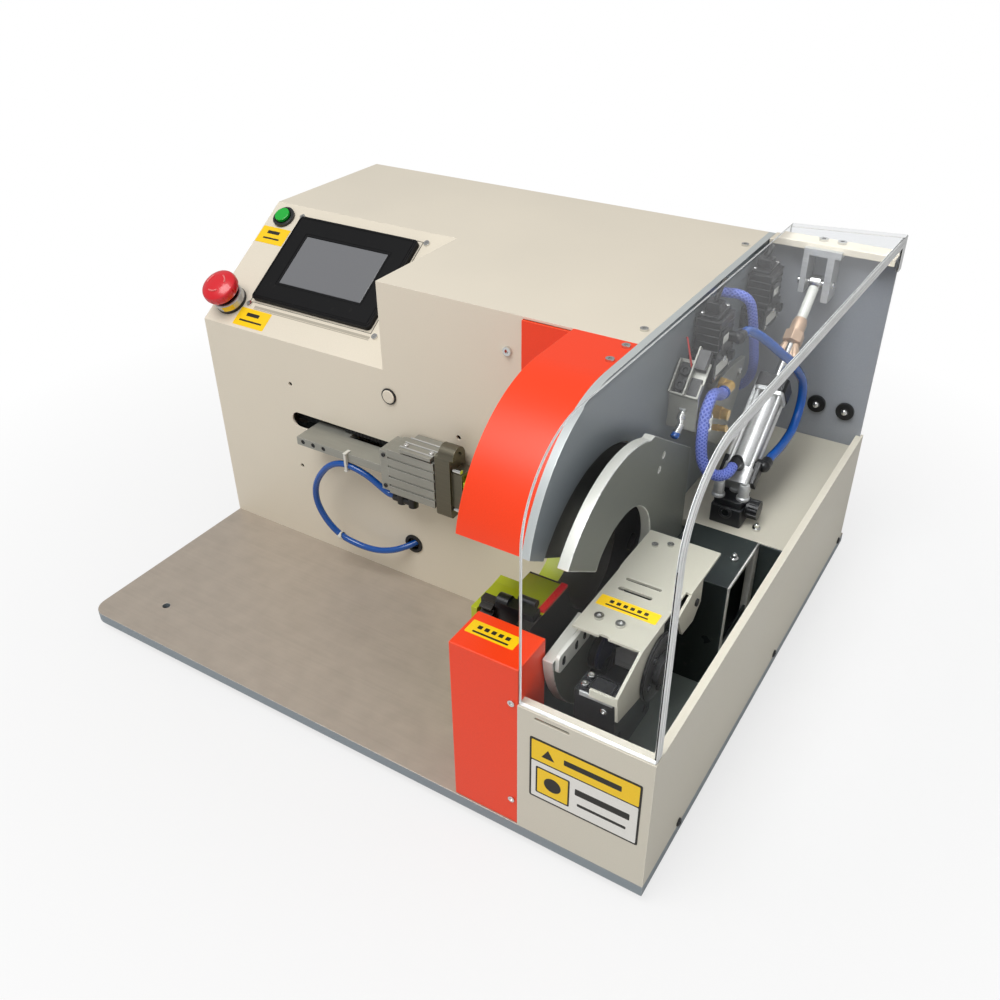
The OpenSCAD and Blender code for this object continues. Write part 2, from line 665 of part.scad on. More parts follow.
// Wedge of the mouth, from the axis towards the front
module mouth_wedge(low, high) {
  far = 220;
  translate([axis_y, axis_z]) polygon([[0, 0], far * [cos(high), sin(high)], [-far, far * 0.6],
    far * [cos(low), sin(low)]]);
}
module side_plate() {
  color(plate_grey) machine() along_x(side_x, side_r) difference() {
    union() {
      difference() {
        nose_outline(hood_r, cab_back, axis_z);
        mouth_wedge(mouth_lo + 5, mouth_hi);
      }
      translate([44, 0]) square([cab_back - 44, axis_z]);
    }
    translate([axis_y, axis_z]) circle(flange_r + 2, $fn = 128);
    translate([0, axis_z - 33]) square([axis_y, 33]);
    for (s = [-1, 1]) translate([pinion_y, axis_z + s * pinion_dz]) circle(shaft_r + run_gap);
    for (p = PLATE_HOLES) translate(p) circle(4.5);
  }
}
module head_plate() {
  color(lime) machine() difference() {
    union() {
      along_x(head_x, head_r) difference() {
        union() {
          difference() {
            nose_outline(hood_r - 5, apron_d - 2, axis_z);
            mouth_wedge(mouth_lo, mouth_hi);
          }
          translate([cheek_y, 0]) square([apron_d - 2 - cheek_y, axis_z - 5]);
          translate([100, 0]) square([drive_y + 20 - 100, axis_z + 70]);
        }
        translate([axis_y, axis_z]) circle(track_in);
      }
      rod_x(head_x, head_r + track_t, axis_y, axis_z, track_r);
    }
    rod_x(head_x - 1, head_r + track_t + 1, axis_y, axis_z, track_in);
    along_x(head_x - 1, head_r + track_t + 1) difference() {
      mouth_wedge(mouth_lo, mouth_hi);
      square([axis_y, axis_z - 5]);
    }
    for (s = [-1, 1]) rod_x(head_x - 1, head_r + 1, pinion_y, axis_z + s * pinion_dz, shaft_r + run_gap);
    rod_x(head_x - 1, head_r + 1, drive_y, axis_z, 12);
  }
}
module hood() {
  lip_z = axis_z + 60;
  color(orange) machine() union() {
    difference() {
      along_x(hood_x, side_x) difference() {
        nose_outline(hood_r, apron_d - seat, lip_z);
        mouth_wedge(mouth_lo, mouth_hi);
      }
      along_x(hood_x + 1.5, side_x + 1) nose_outline(hood_r - sheet_t, apron_d + 1, lip_z - 1);
      rod_x(hood_x - 1, side_x + 1, axis_y, axis_z, ring_bore_r);
    }
    block(hood_x - 43 + seat, hood_x + eps, apron_d - sheet_t - seat, apron_d - seat, axis_z + 54 + seat,
      cabinet_h - sheet_t - seat);
  }
}
module lower_cover() {
  color(orange) machine() difference() {
    block(lower_x0, lower_x1, lower_y0, lower_y0 + lower_d, 0, lower_h);
    block(lower_x0 + sheet_t, lower_x1 - sheet_t, lower_y0 + sheet_t, lower_y0 + lower_d + 1, -1,
      lower_h - sheet_t);
  }
}

// Wrapping rotor: a C-shaped gear that carries the tape round the wires
module mouth_cut(x0, x1) {
  along_x(x0, x1) translate([axis_y, axis_z])
    polygon([[0, jaw_rise], [-140, jaw_rise], [-140, 140 * tan(180 - mouth_hi)], [0, jaw_rise + 1]]);
}
// A gear on the machine's gear line, with one tooth pointing at the angle phase
module gear_at(y, z, phase, teeth) {
  translate([gear_x, y, z]) rotate([90, 0, 90]) rotate(phase) linear_extrude(tooth_w)
    gear_shape(teeth, tooth_module);
}
module rotor() {
  color(lime) machine() difference() {
    union() {
      gear_at(axis_y, axis_z, 0, rotor_teeth);
      rod_x(head_r + 1, side_x + 4, axis_y, axis_z, rotor_pr - 4);
      rod_x(side_x - 7, side_x + 4, axis_y, axis_z, flange_r);
    }
    rod_x(head_r - 1, side_r + 1, axis_y, axis_z, rotor_bore_r);
    rod_x(head_r - 1, head_r + track_t + 1, axis_y, axis_z, track_r + run_gap);
    mouth_cut(head_r - 1, side_r + 1);
    // Pockets that lighten the flange
    for (a = [-60, -20, 20, 60, -100]) translate([side_x - 4, axis_y, axis_z]) rotate([a, 0, 0])
      translate([0, 74, 0]) rotate([0, 90, 0]) cylinder(r = 8, h = 20);
  }
}
module tape_presser() {
  x0 = gear_x + tooth_w + 2;
  x1 = side_x + 2;
  base = axis_z + jaw_rise;
  color(black) machine() union() {
    block(x0, x1, axis_y - 84, axis_y - 74, base, base + 5);
    along_x(x0, x0 + 9) union() {
      translate([axis_y - 84, base]) square([12, 3]);
      difference() {
        translate([axis_y - 78, base + 2]) circle(6);
        translate([axis_y - 90, base - 10]) square([30, 10]);
      }
    }
    rod_x(x0 + 12, x1 - 5, axis_y - 70, base + 3.5, 3.5);
    block(x0 + 14, x1 - 6, axis_y - 76, axis_y - 70, base + 1, base + 4);
  }
}
module mouth_strip() {
  base = axis_z + jaw_rise;
  color(red) machine()
    block(side_x - 1, side_x + 4, axis_y - 72, axis_y - rotor_bore_r - 2, base, base + 2.5);
}
module pinion_at(y, z, phase) {
  color(aluminium) machine() difference() {
    union() {
      gear_at(y, z, phase, pinion_teeth);
      rod_x(head_x + 0.5, side_r - 0.5, y, z, shaft_r);
      rod_x(gear_x + tooth_w - eps, gear_x + tooth_w + 8, y, z, 9);
    }
    rod_z(z + 3, z + 12, gear_x + tooth_w + 4, y, 1.5);
  }
}
module pinion_upper() {
  pinion_at(pinion_y, axis_z + pinion_dz, upper_phase);
}
module pinion_lower() {
  pinion_at(pinion_y, axis_z - pinion_dz, lower_phase);
}
module motor_gear() {
  color(brass) machine() difference() {
    union() {
      gear_at(drive_y, axis_z, drive_phase, motor_teeth);
      rod_x(head_x - 20, gear_x + tooth_w + 6, drive_y, axis_z, motor_shaft_r);
      rod_x(gear_x + tooth_w - eps, gear_x + tooth_w + 6, drive_y, axis_z, 10);
    }
    for (k = [0:5]) translate([gear_x - 1, drive_y, axis_z]) rotate([k * 60, 0, 0])
      translate([0, motor_pr - 14, 0]) rotate([0, 90, 0]) cylinder(r = 6, h = tooth_w + 2);
  }
}
module drive_motor() {
  color(black) machine() difference() {
    union() {
      translate([head_x - 66, drive_y, axis_z]) rotate([90, 0, 90]) linear_extrude(66) round_rect(57, 57, 5);
      rod_x(head_x - 0.1, head_x + 2, drive_y, axis_z, 11.8);
    }
    rod_x(head_x - 21, head_x + 3, drive_y, axis_z, motor_shaft_r + run_gap);
    for (x = [-52, -14]) translate([head_x + x, drive_y, axis_z]) difference() {
      translate([0, -40, -40]) cube([1.5, 80, 80]);
      translate([-1, -27.5, -27.5]) cube([4, 55, 55]);
    }
  }
}

// Ring plate with its mouth, on spacers beside the rotor
module ring_plate() {
  back = deck_y - 19;
  color([0.5, 0.52, 0.5]) machine() difference() {
    union() {
      rod_x(ring_x, ring_right, axis_y, axis_z, ring_r);
      along_x(ring_x, ring_right) polygon([[axis_y + 10, axis_z + ring_r - 12],
        [axis_y + 43, axis_z + ring_r - 6], [back, axis_z + 47], [back, floor_t], [axis_y - 8, floor_t],
        [axis_y - 72, axis_z - ring_r + 43]]);
    }
    rod_x(ring_x - 1, ring_right + 1, axis_y, axis_z, ring_bore_r);
    along_x(ring_x - 1, ring_right + 1) mouth_wedge(mouth_lo, mouth_hi);
    for (p = [[195, 214], [189, 204]]) rod_x(ring_x - 1, ring_right + 1, p[0], p[1], 2.5);
  }
}
module ring_spacers() {
  color(aluminium) machine() for (p = SPACERS) rod_x(side_r, ring_x, p[0], p[1], 6);
}

// Tray walls, floor and rear deck of the feeding bay
module tray_walls() {
  color(cream) machine() difference() {
    union() {
      block(lower_x1, plate_w, 0, sheet_t, 0, tray_h);
      block(lower_x1, plate_w, 0, 11, tray_h - sheet_t, tray_h);
      block(plate_w - sheet_t, plate_w, 0, cab_back + sheet_t, 0, tray_h);
      block(plate_w - 6, plate_w, 0, cab_back - sheet_t - 0.2, tray_h - sheet_t, tray_h);
    }
    along_y(-1, sheet_t + 1) slot_shape(lower_x1 + 13, lower_x1 + 39, tray_h - 5, 2.5);
  }
}
module tray_floor() {
  color(dark_grey) machine() union() {
    block(lower_x1 + 0.2, plate_w - sheet_t - 0.2, 3, cab_back - 1, 0, floor_t);
    block(side_r + 0.2, lower_x1 + 1, lower_d + 2, cab_back - 1, 0, floor_t);
  }
}
module rear_deck() {
  x0 = side_r + 0.2;
  x1 = plate_w - sheet_t - 0.2;
  y1 = cab_back - sheet_t - 0.2;
  color(cream) machine() union() {
    block(x0, x1, deck_y, y1, deck_h - sheet_t, deck_h);
    block(x0, x0 + sheet_t, deck_y, y1, deck_h - 24, deck_h);
    block(x1 - sheet_t, x1, deck_y, y1, deck_h - 24, deck_h);
    block(x0, x1, deck_y, deck_y + sheet_t, deck_h - 8, deck_h);
  }
}
module feed_box() {
  x0 = ring_right + 0.2;
  y1 = deck_y - 0.2;
  color(dark_grey) machine() difference() {
    block(x0, box_x1, box_y0, y1, floor_t, deck_h);
    block(x0 - 1, box_x1 - sheet_t, box_y0 + sheet_t, y1 + 1, 0, deck_h - sheet_t);
    block(box_x1 - 5, box_x1 + 1, box_y0 + 4, y1 - 5, deck_h - 60, deck_h - 4);
  }
}
module back_panel() {
  x0 = side_r + 0.2;
  x1 = plate_w - sheet_t - 0.2;
  color(plate_grey) machine() difference() {
    union() {
      block(x0, x1, cab_back - sheet_t, cab_back, floor_t + 0.5, cabinet_h);
      block(x0, x1, cab_back - flange_d, cab_back, cabinet_h - sheet_t, cabinet_h);
    }
    for (p = BULKHEADS) rod_y(cab_back - 4, cab_back + 1, p[0], p[1], 6);
  }
}
module bulkhead_fittings() {
  color(black) machine() for (p = BULKHEADS) difference() {
    union() {
      rod_y(cab_back - sheet_t - 3, cab_back - sheet_t, p[0], p[1], 8.5);
      rod_y(cab_back - sheet_t - eps, cab_back + 6, p[0], p[1], 5.8);
    }
    rod_y(cab_back - sheet_t - 4, cab_back + 7, p[0], p[1], 3.5);
  }
}

// Clear guard: a front pane, a bend and a top pane that falls to the back, with a lip behind the back panel
module guard() {
  top = cabinet_h + guard_rise;
  y0 = 1;
  y1 = cab_back + 0.3;
  r = guard_bend_r;
  lip_z = cabinet_h - 14;
  lip_top = top - (y1 - y0 - r) * tan(guard_fall) - guard_t / 2;
  // The bend stands a trace proud of both panes, which run into it
  proud = 0.1;
  lap = 2;
  color([0.8, 0.85, 0.9, 0.35]) machine() difference() {
    along_x(side_r + 0.5, plate_w - 0.5) intersection() {
      union() {
        translate([y0, tray_h]) square([guard_t, top - r - tray_h + lap]);
        translate([y0 + r, top - r]) union() {
          intersection() {
            difference() {
              circle(r + proud);
              circle(r - guard_t - proud);
            }
            polygon([[0, 0], [-2 * r, 0], [-2 * r, 2 * r], 2 * r * [sin(guard_fall), cos(guard_fall)]]);
          }
          rotate(-guard_fall) translate([-lap, r - guard_t]) square([plate_d, guard_t]);
        }
        translate([y1, lip_z]) square([guard_t, lip_top - lip_z]);
      }
      translate([0, tray_h]) square([y1 + guard_t, plate_d]);
    }
    block(side_r, lower_x1 + seat, 0, y0 + guard_t + 1, 0, lower_h + seat);
  }
}

// Tape feed bracket on the ring plate: a stepped top, a cheek at the reel and a tab at the roller
module feed_bracket() {
  x0 = bracket_x0;
  x1 = bracket_x1;
  t = sheet_t;
  z0 = bracket_h - t;
  step_y = bracket_y0 + 71;
  color(cream) machine() difference() {
    union() {
      translate([0, 0, z0]) linear_extrude(t) polygon([[x0, bracket_y0], [cheek_x, bracket_y0],
        [cheek_x, step_y], [x1, step_y], [x1, bracket_y1], [x0, bracket_y1]]);
      block(x0, x0 + t, bracket_y0 + 27, bracket_y1, bracket_h - 24, bracket_h);
      along_x(cheek_x - t, cheek_x) polygon([[bracket_y0, bracket_h], [bracket_y0 - 35, bracket_h - 13],
        [bracket_y0 - 32, bracket_h - 36], [reel_y - 8, bracket_h - 46], [reel_y + 10, bracket_h - 40],
        [reel_y + 10, bracket_h]]);
      along_x(x1 - t, x1) polygon([[step_y - 22, bracket_h - 7], [step_y, z0], [step_y + 4, bracket_h],
        [roller_y + 10, bracket_h], [roller_y + 10, roller_z - 6], [roller_y - 2, roller_z - 16],
        [step_y - 10, roller_z - 14]]);
      block(x1 - 24, cheek_x, bracket_y0 - 35, bracket_y0 - 33, bracket_h - 20, bracket_h - 14);
    }
    block(x0 + 20, x0 + 27, bracket_y0 - 1, bracket_y0 + 2, z0 - 1, bracket_h + 1);
    translate([x0 + 9, roller_y - 19, z0 - 1]) linear_extrude(t + 2) slot_shape(0, 28, 0, 3);
    translate([x0 + 9, roller_y - 31, z0 - 1]) linear_extrude(t + 2) slot_shape(0, 26, 0, 4);
    rod_x(cheek_x - t - 1, cheek_x + 1, reel_y, reel_z, 4 + run_gap);
    rod_x(x0 - 1, x1 + 1, roller_y, roller_z, 3 + run_gap);
  }
}
module slotted_strip() {
  strip_z = axis_z - 13;
  color(aluminium) machine() difference() {
    along_x(ring_right + 0.1, ring_right + 3) translate([58, strip_z]) round_rect(46, 15, 3);
    for (y = [42, 60, 72]) rod_x(ring_right - 1, ring_right + 4, y, strip_z, 3);
  }
}
// Motor block on the ring plate, and the small drive in front of it on the bracket's cheek
module tape_motor() {
  x0 = bracket_x0;
  drive_x1 = cheek_x - sheet_t - 0.1;
  drive_z1 = bracket_h - 21;
  color(black) machine() difference() {
    union() {
      block(x0, x0 + 34, 74, 128, 28, 84);
      rod_x(x0, x0 + 6, 97, 98, 13);
      block(x0 + 4, x0 + 12, 92, 102, 80, 92);
      block(x0 + 20, drive_x1, 25, 44, 98, drive_z1);
      for (p = [[25, 30], [25, 39]]) rod_z(drive_z1 - eps, drive_z1 + 2, x0 + p[0], p[1], 2.5);
    }
    for (p = [[84, 74], [118, 38]]) rod_x(x0 + 31, x0 + 35, p[0], p[1], 3.2);
    for (z = [40, 56, 72]) block(x0 + 6, x0 + 28, 73, 74.6, z - 1.5, z + 1.5);
    rod_y(24, 26.5, drive_x1 - 8, drive_z1 - 10, 2.5);
  }
}
module feed_roller() {
  color(dark_grey) machine() union() {
    rod_x(bracket_x0 + 4, bracket_x0 + 44, roller_y, roller_z, 10);
    rod_x(bracket_x0 + 0.5, bracket_x1 + 1.5, roller_y, roller_z, 3);
  }
}
module cutter_blade() {
  x0 = ring_right + 13;
  color(aluminium) machine() along_y(104, 105.5)
    polygon([[x0, 84.3], [x0 + 20, 84.3], [x0 + 20, 110], [x0, 100]]);
}
module tape_reel() {
  color(dark_grey) machine() union() {
    rod_x(cheek_x - sheet_t - 10, cheek_x + 8, reel_y, reel_z, 4);
    rod_x(cheek_x + seat, cheek_x + 2.5, reel_y, reel_z, reel_r);
    rod_x(cheek_x + 2.5 - eps, cheek_x + 8, reel_y, reel_z, 12);
  }
}

// Pneumatics on the side plate
module solenoid_valves() {
  color(black) machine() union() {
    for (p = VALVES) translate([side_r, p[0], p[1]]) union() {
      translate([0, -20, -26]) cube([22, 40, 20]);
      translate([2, -16, -6 - eps]) cube([20, 30, 30]);
      translate([4, -24, -20]) cube([14, 5, 10]);
      translate([12, 19, -18]) rotate([-90, 0, 0]) cylinder(r = 5, h = 5);
      translate([22 - eps, -14, 0]) cube([2.5, 12, 16]);
    }
    // Elbow for the feeding cylinder's hose
    translate([side_r + 21, VALVES[0][0] + 8, VALVES[0][1] + 4]) union() {
      rotate([0, 90, 0]) cylinder(r = 4.5, h = 9);
      translate([9, 0, 0]) sphere(5);
      translate([9, 0, 0]) rotate([-90, 0, 0]) cylinder(r = 4.5, h = 8);
    }
  }
}
module valve_plate() {
  color(aluminium) machine() difference() {
    union() {
      along_x(ring_right - 4, ring_right) polygon([[297, 226], [332, 226], [362, 222], [356, 192], [338, 168],
        [315, 166], [281, 188]]);
      for (p = [[308, 184], [340, 200]]) rod_x(side_r, ring_right - 4 + eps, p[0], p[1], 5);
    }
    rod_x(ring_right - 5, ring_right + 1, 348, 210, 3);
  }
}
module brass_fittings() {
  color(brass) machine() union() {
    translate([ring_right, brass_y, brass_z]) rotate([0, 90, 0]) cylinder(r = 6, h = 5, $fn = 6);
    rod_x(ring_right + 5 - eps, ring_right + 8, brass_y, brass_z, 4.5);
    translate([ring_right + 8, brass_y, brass_z]) sphere(4.8);
    rod_y(brass_y - 10, brass_y, ring_right + 8, brass_z, 4.5);
    translate([ring_right, drain_y, drain_z]) rotate([0, 90, 0]) cylinder(r = 6, h = 6, $fn = 6);
    rod_x(ring_right + 6 - eps, ring_right + 12, drain_y, drain_z, 4.5);
  }
}
module sensor_bracket() {
  color(aluminium) machine() translate([side_r, sensor_y, sensor_z]) union() {
    difference() {
      translate([0, 0, 12]) cube([22, 42, 42]);
      translate([3, -1, 15]) cube([16, 44, 36]);
    }
    translate([8, 4, 0]) cube([12, 34, 12 + eps]);
    translate([14, 10, -14]) cylinder(r = 3, h = 15);
    for (y = [14, 30]) translate([6, y, 15 - eps]) cylinder(r = 6, h = 18);
  }
}
module valve_hose() {
  color(blue) machine() tube(VALVE_HOSE, 8, 10, 2);
}

// Tape feeding cylinder: an anchored rod on which the cylinder slides
module feed_anchor() {
  y1 = cab_back - sheet_t - 0.1;
  z1 = cabinet_h - sheet_t - 0.1;
  color(aluminium) machine() difference() {
    union() {
      block(feed_x - 13, feed_x + 19, pin_y - 8, y1, z1 - 6, z1);
      block(feed_x + 8, feed_x + 14, pin_y - 8, y1, pin_z - 14, z1 - 6 + eps);
      block(feed_x - 13, feed_x - 8, pin_y - 8, y1, pin_z - 8, z1 - 6 + eps);
    }
    rod_x(feed_x - 20, feed_x + 20, pin_y, pin_z, 3 + run_gap);
  }
}
module feed_rod() {
  color(aluminium) machine() union() {
    rod_x(feed_x - 16, feed_x + 16, pin_y, pin_z, 3);
    on_feed() union() {
      rotate([0, 90, 0]) translate([0, 0, -5]) cylinder(r = 6, h = 10);
      translate([0, 0, -rod_l]) cylinder(r = 4, h = rod_l);
      translate([0, 0, -62]) cylinder(r = 9, h = 10, $fn = 6);
      translate([0, 0, -52 - eps]) cylinder(r = 6.5, h = 16);
    }
  }
}
module feed_cylinder() {
  low = -feed_l;
  color(dark_grey) machine() difference() {
    union() {
      on_feed() union() {
        translate([0, 0, low]) linear_extrude(body_l) round_rect(24, 24, 4);
        translate([0, 0, -body_end - 12]) linear_extrude(12) round_rect(26, 26, 3);
        translate([-16, -6, low + 4]) cube([6, 12, 20]);
        translate([10, -6, low + 4]) cube([6, 12, 20]);
        // Elbows for the two hoses
        translate([0, -12 + eps, low + 14]) rotate([90, 0, 0]) cylinder(r = 5, h = 10);
        translate([0, -22, low + 14]) sphere(5.2);
        translate([11, 0, low + 24]) rotate([0, 90, 0]) cylinder(r = 5, h = 6);
        translate([17, 0, low + 24]) sphere(5.2);
        translate([-15, -4, low + 22]) cube([3 + eps, 8, body_l - 10]);
      }
      rod_y(elbow_a[1] - 10, elbow_a[1], feed_x, elbow_a[2], 4.8);
      rod_y(elbow_b[1], elbow_b[1] + 9, feed_x + 17, elbow_b[2], 4.8);
      block(feed_x - block_w / 2, feed_x + block_w / 2, block_y, block_y + block_d,
        deck_h + seat, deck_h + 24);
    }
    on_feed() translate([0, 0, low + 8]) cylinder(r = 4 + run_gap, h = body_l + 40);
    rod_y(block_y - 1, block_y + 5, feed_x, deck_h + 13, 4);
    rod_x(feed_x + 8, feed_x + 17, knob_y, knob_z, 3 + run_gap);
  }
}
module adjust_knob() {
  x0 = feed_x + block_w / 2;
  color(black) machine() union() {
    rod_x(x0 - 4, x0 + 2, knob_y, knob_z, 3);
    difference() {
      rod_x(x0 + 1, x0 + 11, knob_y, knob_z, 8.5);
      for (k = [0:11]) translate([x0 + 3, knob_y, knob_z]) rotate([k * 30, 0, 0]) translate([0, 9, 0])
        rotate([0, 90, 0]) cylinder(r = 1.2, h = 10, $fn = 16);
    }
  }
}
module feed_hoses() {
  color(blue) machine() union() {
    tube(FEED_HOSE_A, 9, 10, 2);
    tube(FEED_HOSE_B, 8, 10, 2);
  }
}

// Clamp carriage and its rail inside the cabinet
module carriage_rail() {
  color(steel) machine() union() {
    block(slot_x0 - 15, slot_x1 + 15, apron_d + 24, apron_d + 36, arm_z - 14, arm_z - 4);
    for (x = [slot_x0 - 15, slot_x1 + 3]) block(x, x + 12, apron_d + 20, apron_d + 40, 0, arm_z - 14 + eps);
  }
}
module carriage_plate() {
  color(aluminium) machine() difference() {
    union() {
      block(carriage_x, clamp_x0, clamp_y0 + 2, clamp_y1, arm_z - arm_h / 2, arm_z + arm_h / 2);
      block(carriage_x, carriage_x + arm_w, clamp_y1 - eps, apron_d + 42,
        arm_z - arm_h / 2, arm_z + arm_h / 2);
      for (y = [apron_d + 20, apron_d + 36 + seat])
        block(carriage_x, carriage_x + arm_w, y, y + 4 - seat, arm_z - 12, arm_z - arm_h / 2 + eps);
      block(clamp_x0 - spacer_t, clamp_x0, clamp_y0, clamp_y1, clamp_z - 20, clamp_z + 20);
    }
    for (k = [0:2]) rod_y(clamp_y0, clamp_y0 + 12, carriage_x + 7 + k * 12, arm_z, 2.3);
  }
}
module gripper_body() {
  top = clamp_z + clamp_h / 2;
  color(aluminium) machine() difference() {
    union() {
      block(clamp_x0, clamp_x1, clamp_y0, clamp_y1, clamp_z - clamp_h / 2, top);
      block(clamp_x0 + 14, clamp_x1 - 2, clamp_y0 - 1, apron_d - 1, top + 2, top + 5);
      block(clamp_x0 + 18, clamp_x1 - 6, clamp_y0 + 6, clamp_y1 - 4, top - eps, top + 2 + eps);
    }
    for (s = [-1, 1])
      rod_x(clamp_x0 + 2, clamp_x1 + 1, (clamp_y0 + clamp_y1) / 2, clamp_z + s * rod_dz, rod_r + run_gap);
    for (z = [-14, -5, 5, 14])
      block(clamp_x0 - 1, clamp_x1 + 1, clamp_y0 - 1, clamp_y0 + 1.2, clamp_z + z - 1, clamp_z + z + 1);
  }
}
module gripper_fittings() {
  color(black) machine() for (x = [clamp_x0 + 6, clamp_x0 + 18]) union() {
    rod_z(clamp_z - clamp_h / 2 - 13.5, clamp_z - clamp_h / 2, x, clamp_y0 + 9, 4.5);
    rod_x(x - 8, x, clamp_y0 + 9, clamp_z - clamp_h / 2 - 9, 4.2);
  }
}
module gripper_head() {
  mid_y = (clamp_y0 + clamp_y1) / 2;
  color([0.36, 0.35, 0.29]) machine() difference() {
    union() {
      for (s = [-1, 1]) rod_x(clamp_x1 - clamp_stroke - 18, jaw_x0 + 10, mid_y, clamp_z + s * rod_dz, rod_r);
      along_x(clamp_x1 + 1, jaw_x0) translate([mid_y, clamp_z + 1]) round_rect(24, 60, 4);
      along_x(clamp_x1 + 4, jaw_x0 + 3) translate([mid_y - 2, clamp_z + 30]) difference() {
        circle(9);
        circle(4.5);
        translate([-12, -24]) square([24, 24 - 1]);
      }
      block(jaw_x0 - eps, jaw_x0 + 10, mid_y - 9, mid_y + 9, clamp_z - 17, clamp_z + 17);
    }
    block(jaw_x0 + 2, jaw_x0 + 11, mid_y - 5 - run_gap, mid_y + 5 + run_gap, clamp_z - 14, clamp_z + 14);
  }
}
// One jaw with its soft pad, mirrored for the lower one
module jaw(dir) {
  mid_y = (clamp_y0 + clamp_y1) / 2;
  machine() translate([0, 0, clamp_z]) mirror([0, 0, dir < 0 ? 1 : 0]) union() {
    block(jaw_x0 + 2 + seat, jaw_x0 + 9, mid_y - 5, mid_y + 5, 4.5, 10);
    block(jaw_x0 + 8, jaw_x0 + 12, mid_y - 5, mid_y + 5, 4.5, 10);
    block(jaw_x0 + 10 + seat, jaw_x0 + 28, mid_y - 8, mid_y + 8, 4.5, 10);
    along_x(jaw_x0 + 12, jaw_x0 + 26) translate([mid_y, 2.6]) square([12, 4], center = true);
  }
}
module jaw_upper() {
  color(lime) jaw(1);
}
module jaw_lower() {
  color(lime) jaw(-1);
}
module front_hose() {
  color(blue) machine() tube(FRONT_HOSE, hose_d, 8, 3);
}

base_plate();
rubber_feet();
cabinet_shell();
rear_cover();
power_inlet();
rocker_switch();
air_inlet();
display_bezel();
display_screen();
estop_base();
estop_stem();
estop_head();
reset_bezel();
reset_cap();
front_grommets();
cover_screws();
side_plate();
head_plate();
hood();
lower_cover();
rotor();
tape_presser();
mouth_strip();
pinion_upper();
pinion_lower();
motor_gear();
drive_motor();
ring_plate();
ring_spacers();
tray_walls();
tray_floor();
rear_deck();
feed_box();
back_panel();
bulkhead_fittings();
guard();
feed_bracket();
slotted_strip();
tape_motor();
feed_roller();
cutter_blade();
tape_reel();
solenoid_valves();
valve_plate();
brass_fittings();
sensor_bracket();
valve_hose();
feed_anchor();
feed_rod();
feed_cylinder();
adjust_knob();
feed_hoses();
carriage_rail();
carriage_plate();
gripper_body();
gripper_fittings();
gripper_head();
jaw_upper();
jaw_lower();
front_hose();
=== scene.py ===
"""Looks of a bench-top tape wrapping machine: finishes, hoses, labels and small fittings.

Lengths are millimetres off the base plate's front left top corner, and at() turns them into
the row frame's metres. Every piece rides on one of the frame's bodies, except the clamp hose and
the two feed hoses, which are made with no body.
"""

import contextlib
import json
import math

import bmesh
import bpy
from mathutils import Matrix, Vector


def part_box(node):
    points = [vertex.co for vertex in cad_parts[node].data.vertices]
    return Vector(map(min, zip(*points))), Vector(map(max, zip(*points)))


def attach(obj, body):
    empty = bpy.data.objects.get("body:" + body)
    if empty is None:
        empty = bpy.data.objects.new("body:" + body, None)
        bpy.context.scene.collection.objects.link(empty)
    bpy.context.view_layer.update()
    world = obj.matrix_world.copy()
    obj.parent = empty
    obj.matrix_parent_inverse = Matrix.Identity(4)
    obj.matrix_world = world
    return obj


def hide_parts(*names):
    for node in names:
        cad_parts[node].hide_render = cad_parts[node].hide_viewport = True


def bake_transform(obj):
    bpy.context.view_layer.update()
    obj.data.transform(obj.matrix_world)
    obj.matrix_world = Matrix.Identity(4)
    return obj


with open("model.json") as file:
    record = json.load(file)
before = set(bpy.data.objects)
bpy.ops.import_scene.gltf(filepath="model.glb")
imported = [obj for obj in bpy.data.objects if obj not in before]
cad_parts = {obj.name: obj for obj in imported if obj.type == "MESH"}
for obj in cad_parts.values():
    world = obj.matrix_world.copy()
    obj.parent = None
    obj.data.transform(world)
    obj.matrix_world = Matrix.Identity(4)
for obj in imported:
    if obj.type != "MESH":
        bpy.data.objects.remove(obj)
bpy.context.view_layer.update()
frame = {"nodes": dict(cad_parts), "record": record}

bl_info = {
    "name": "Tape Wrapping Machine",
    "version": (1, 0, 0),
    "blender": (4, 5, 0),
    "location": "3D View > Sidebar > Machine",
    "description": "Finishes, hoses, labels and small fittings of a bench-top tape wrapping machine",
    "category": "Object",
}

# Machine frame, in millimetres
MM = 0.001
PLATE_LOW, PLATE_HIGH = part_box("base_plate")
ORIGIN = Vector((PLATE_LOW.x, PLATE_LOW.y, PLATE_HIGH.z))
MACHINE = Matrix.Translation(ORIGIN) @ Matrix.Scale(MM, 4)

# Turns that lay the z axis along another one
TURNS = {
    "x": Matrix.Rotation(math.pi / 2, 4, "Y"),
    "y": Matrix.Rotation(-math.pi / 2, 4, "X"),
    "-x": Matrix.Rotation(-math.pi / 2, 4, "Y"),
    "-y": Matrix.Rotation(math.pi / 2, 4, "X"),
}

# Sloped control panel: where it starts, its rise and its run
PANEL_Y, PANEL_Z = 194, 217
PANEL_RUN, CABINET_H = 118, 296
PANEL_ANGLE = math.atan((CABINET_H - PANEL_Z) / PANEL_RUN)
PANEL = MACHINE @ Matrix.Translation((0, PANEL_Y, PANEL_Z)) @ Matrix.Rotation(PANEL_ANGLE, 4, "X")

# Axis of the rotor, as y and z, and the radii in metres that bound the dark band on its faces; the rotor's
# dark colour is painted shade of the gap beside the ring plate
ROTOR_AXIS = (132, 146)
ROTOR_BAND = (0.038, 0.074)

# Where along x the head plate turns dark, a painted shade under the hood, and where the hood's orange paint
# ends
HEAD_SHADE_START, HOOD_PAINT_END = 412, 448.4

# Camera that sees the object as the photograph does
CAMERA_PLACE = Vector((0.41766, -0.63498, 0.60912))
CAMERA_FORWARD = Vector((-0.44182854, 0.70290906, -0.55741043))
CAMERA_RIGHT = Vector((0.84961927, 0.52732848, -0.00847144))

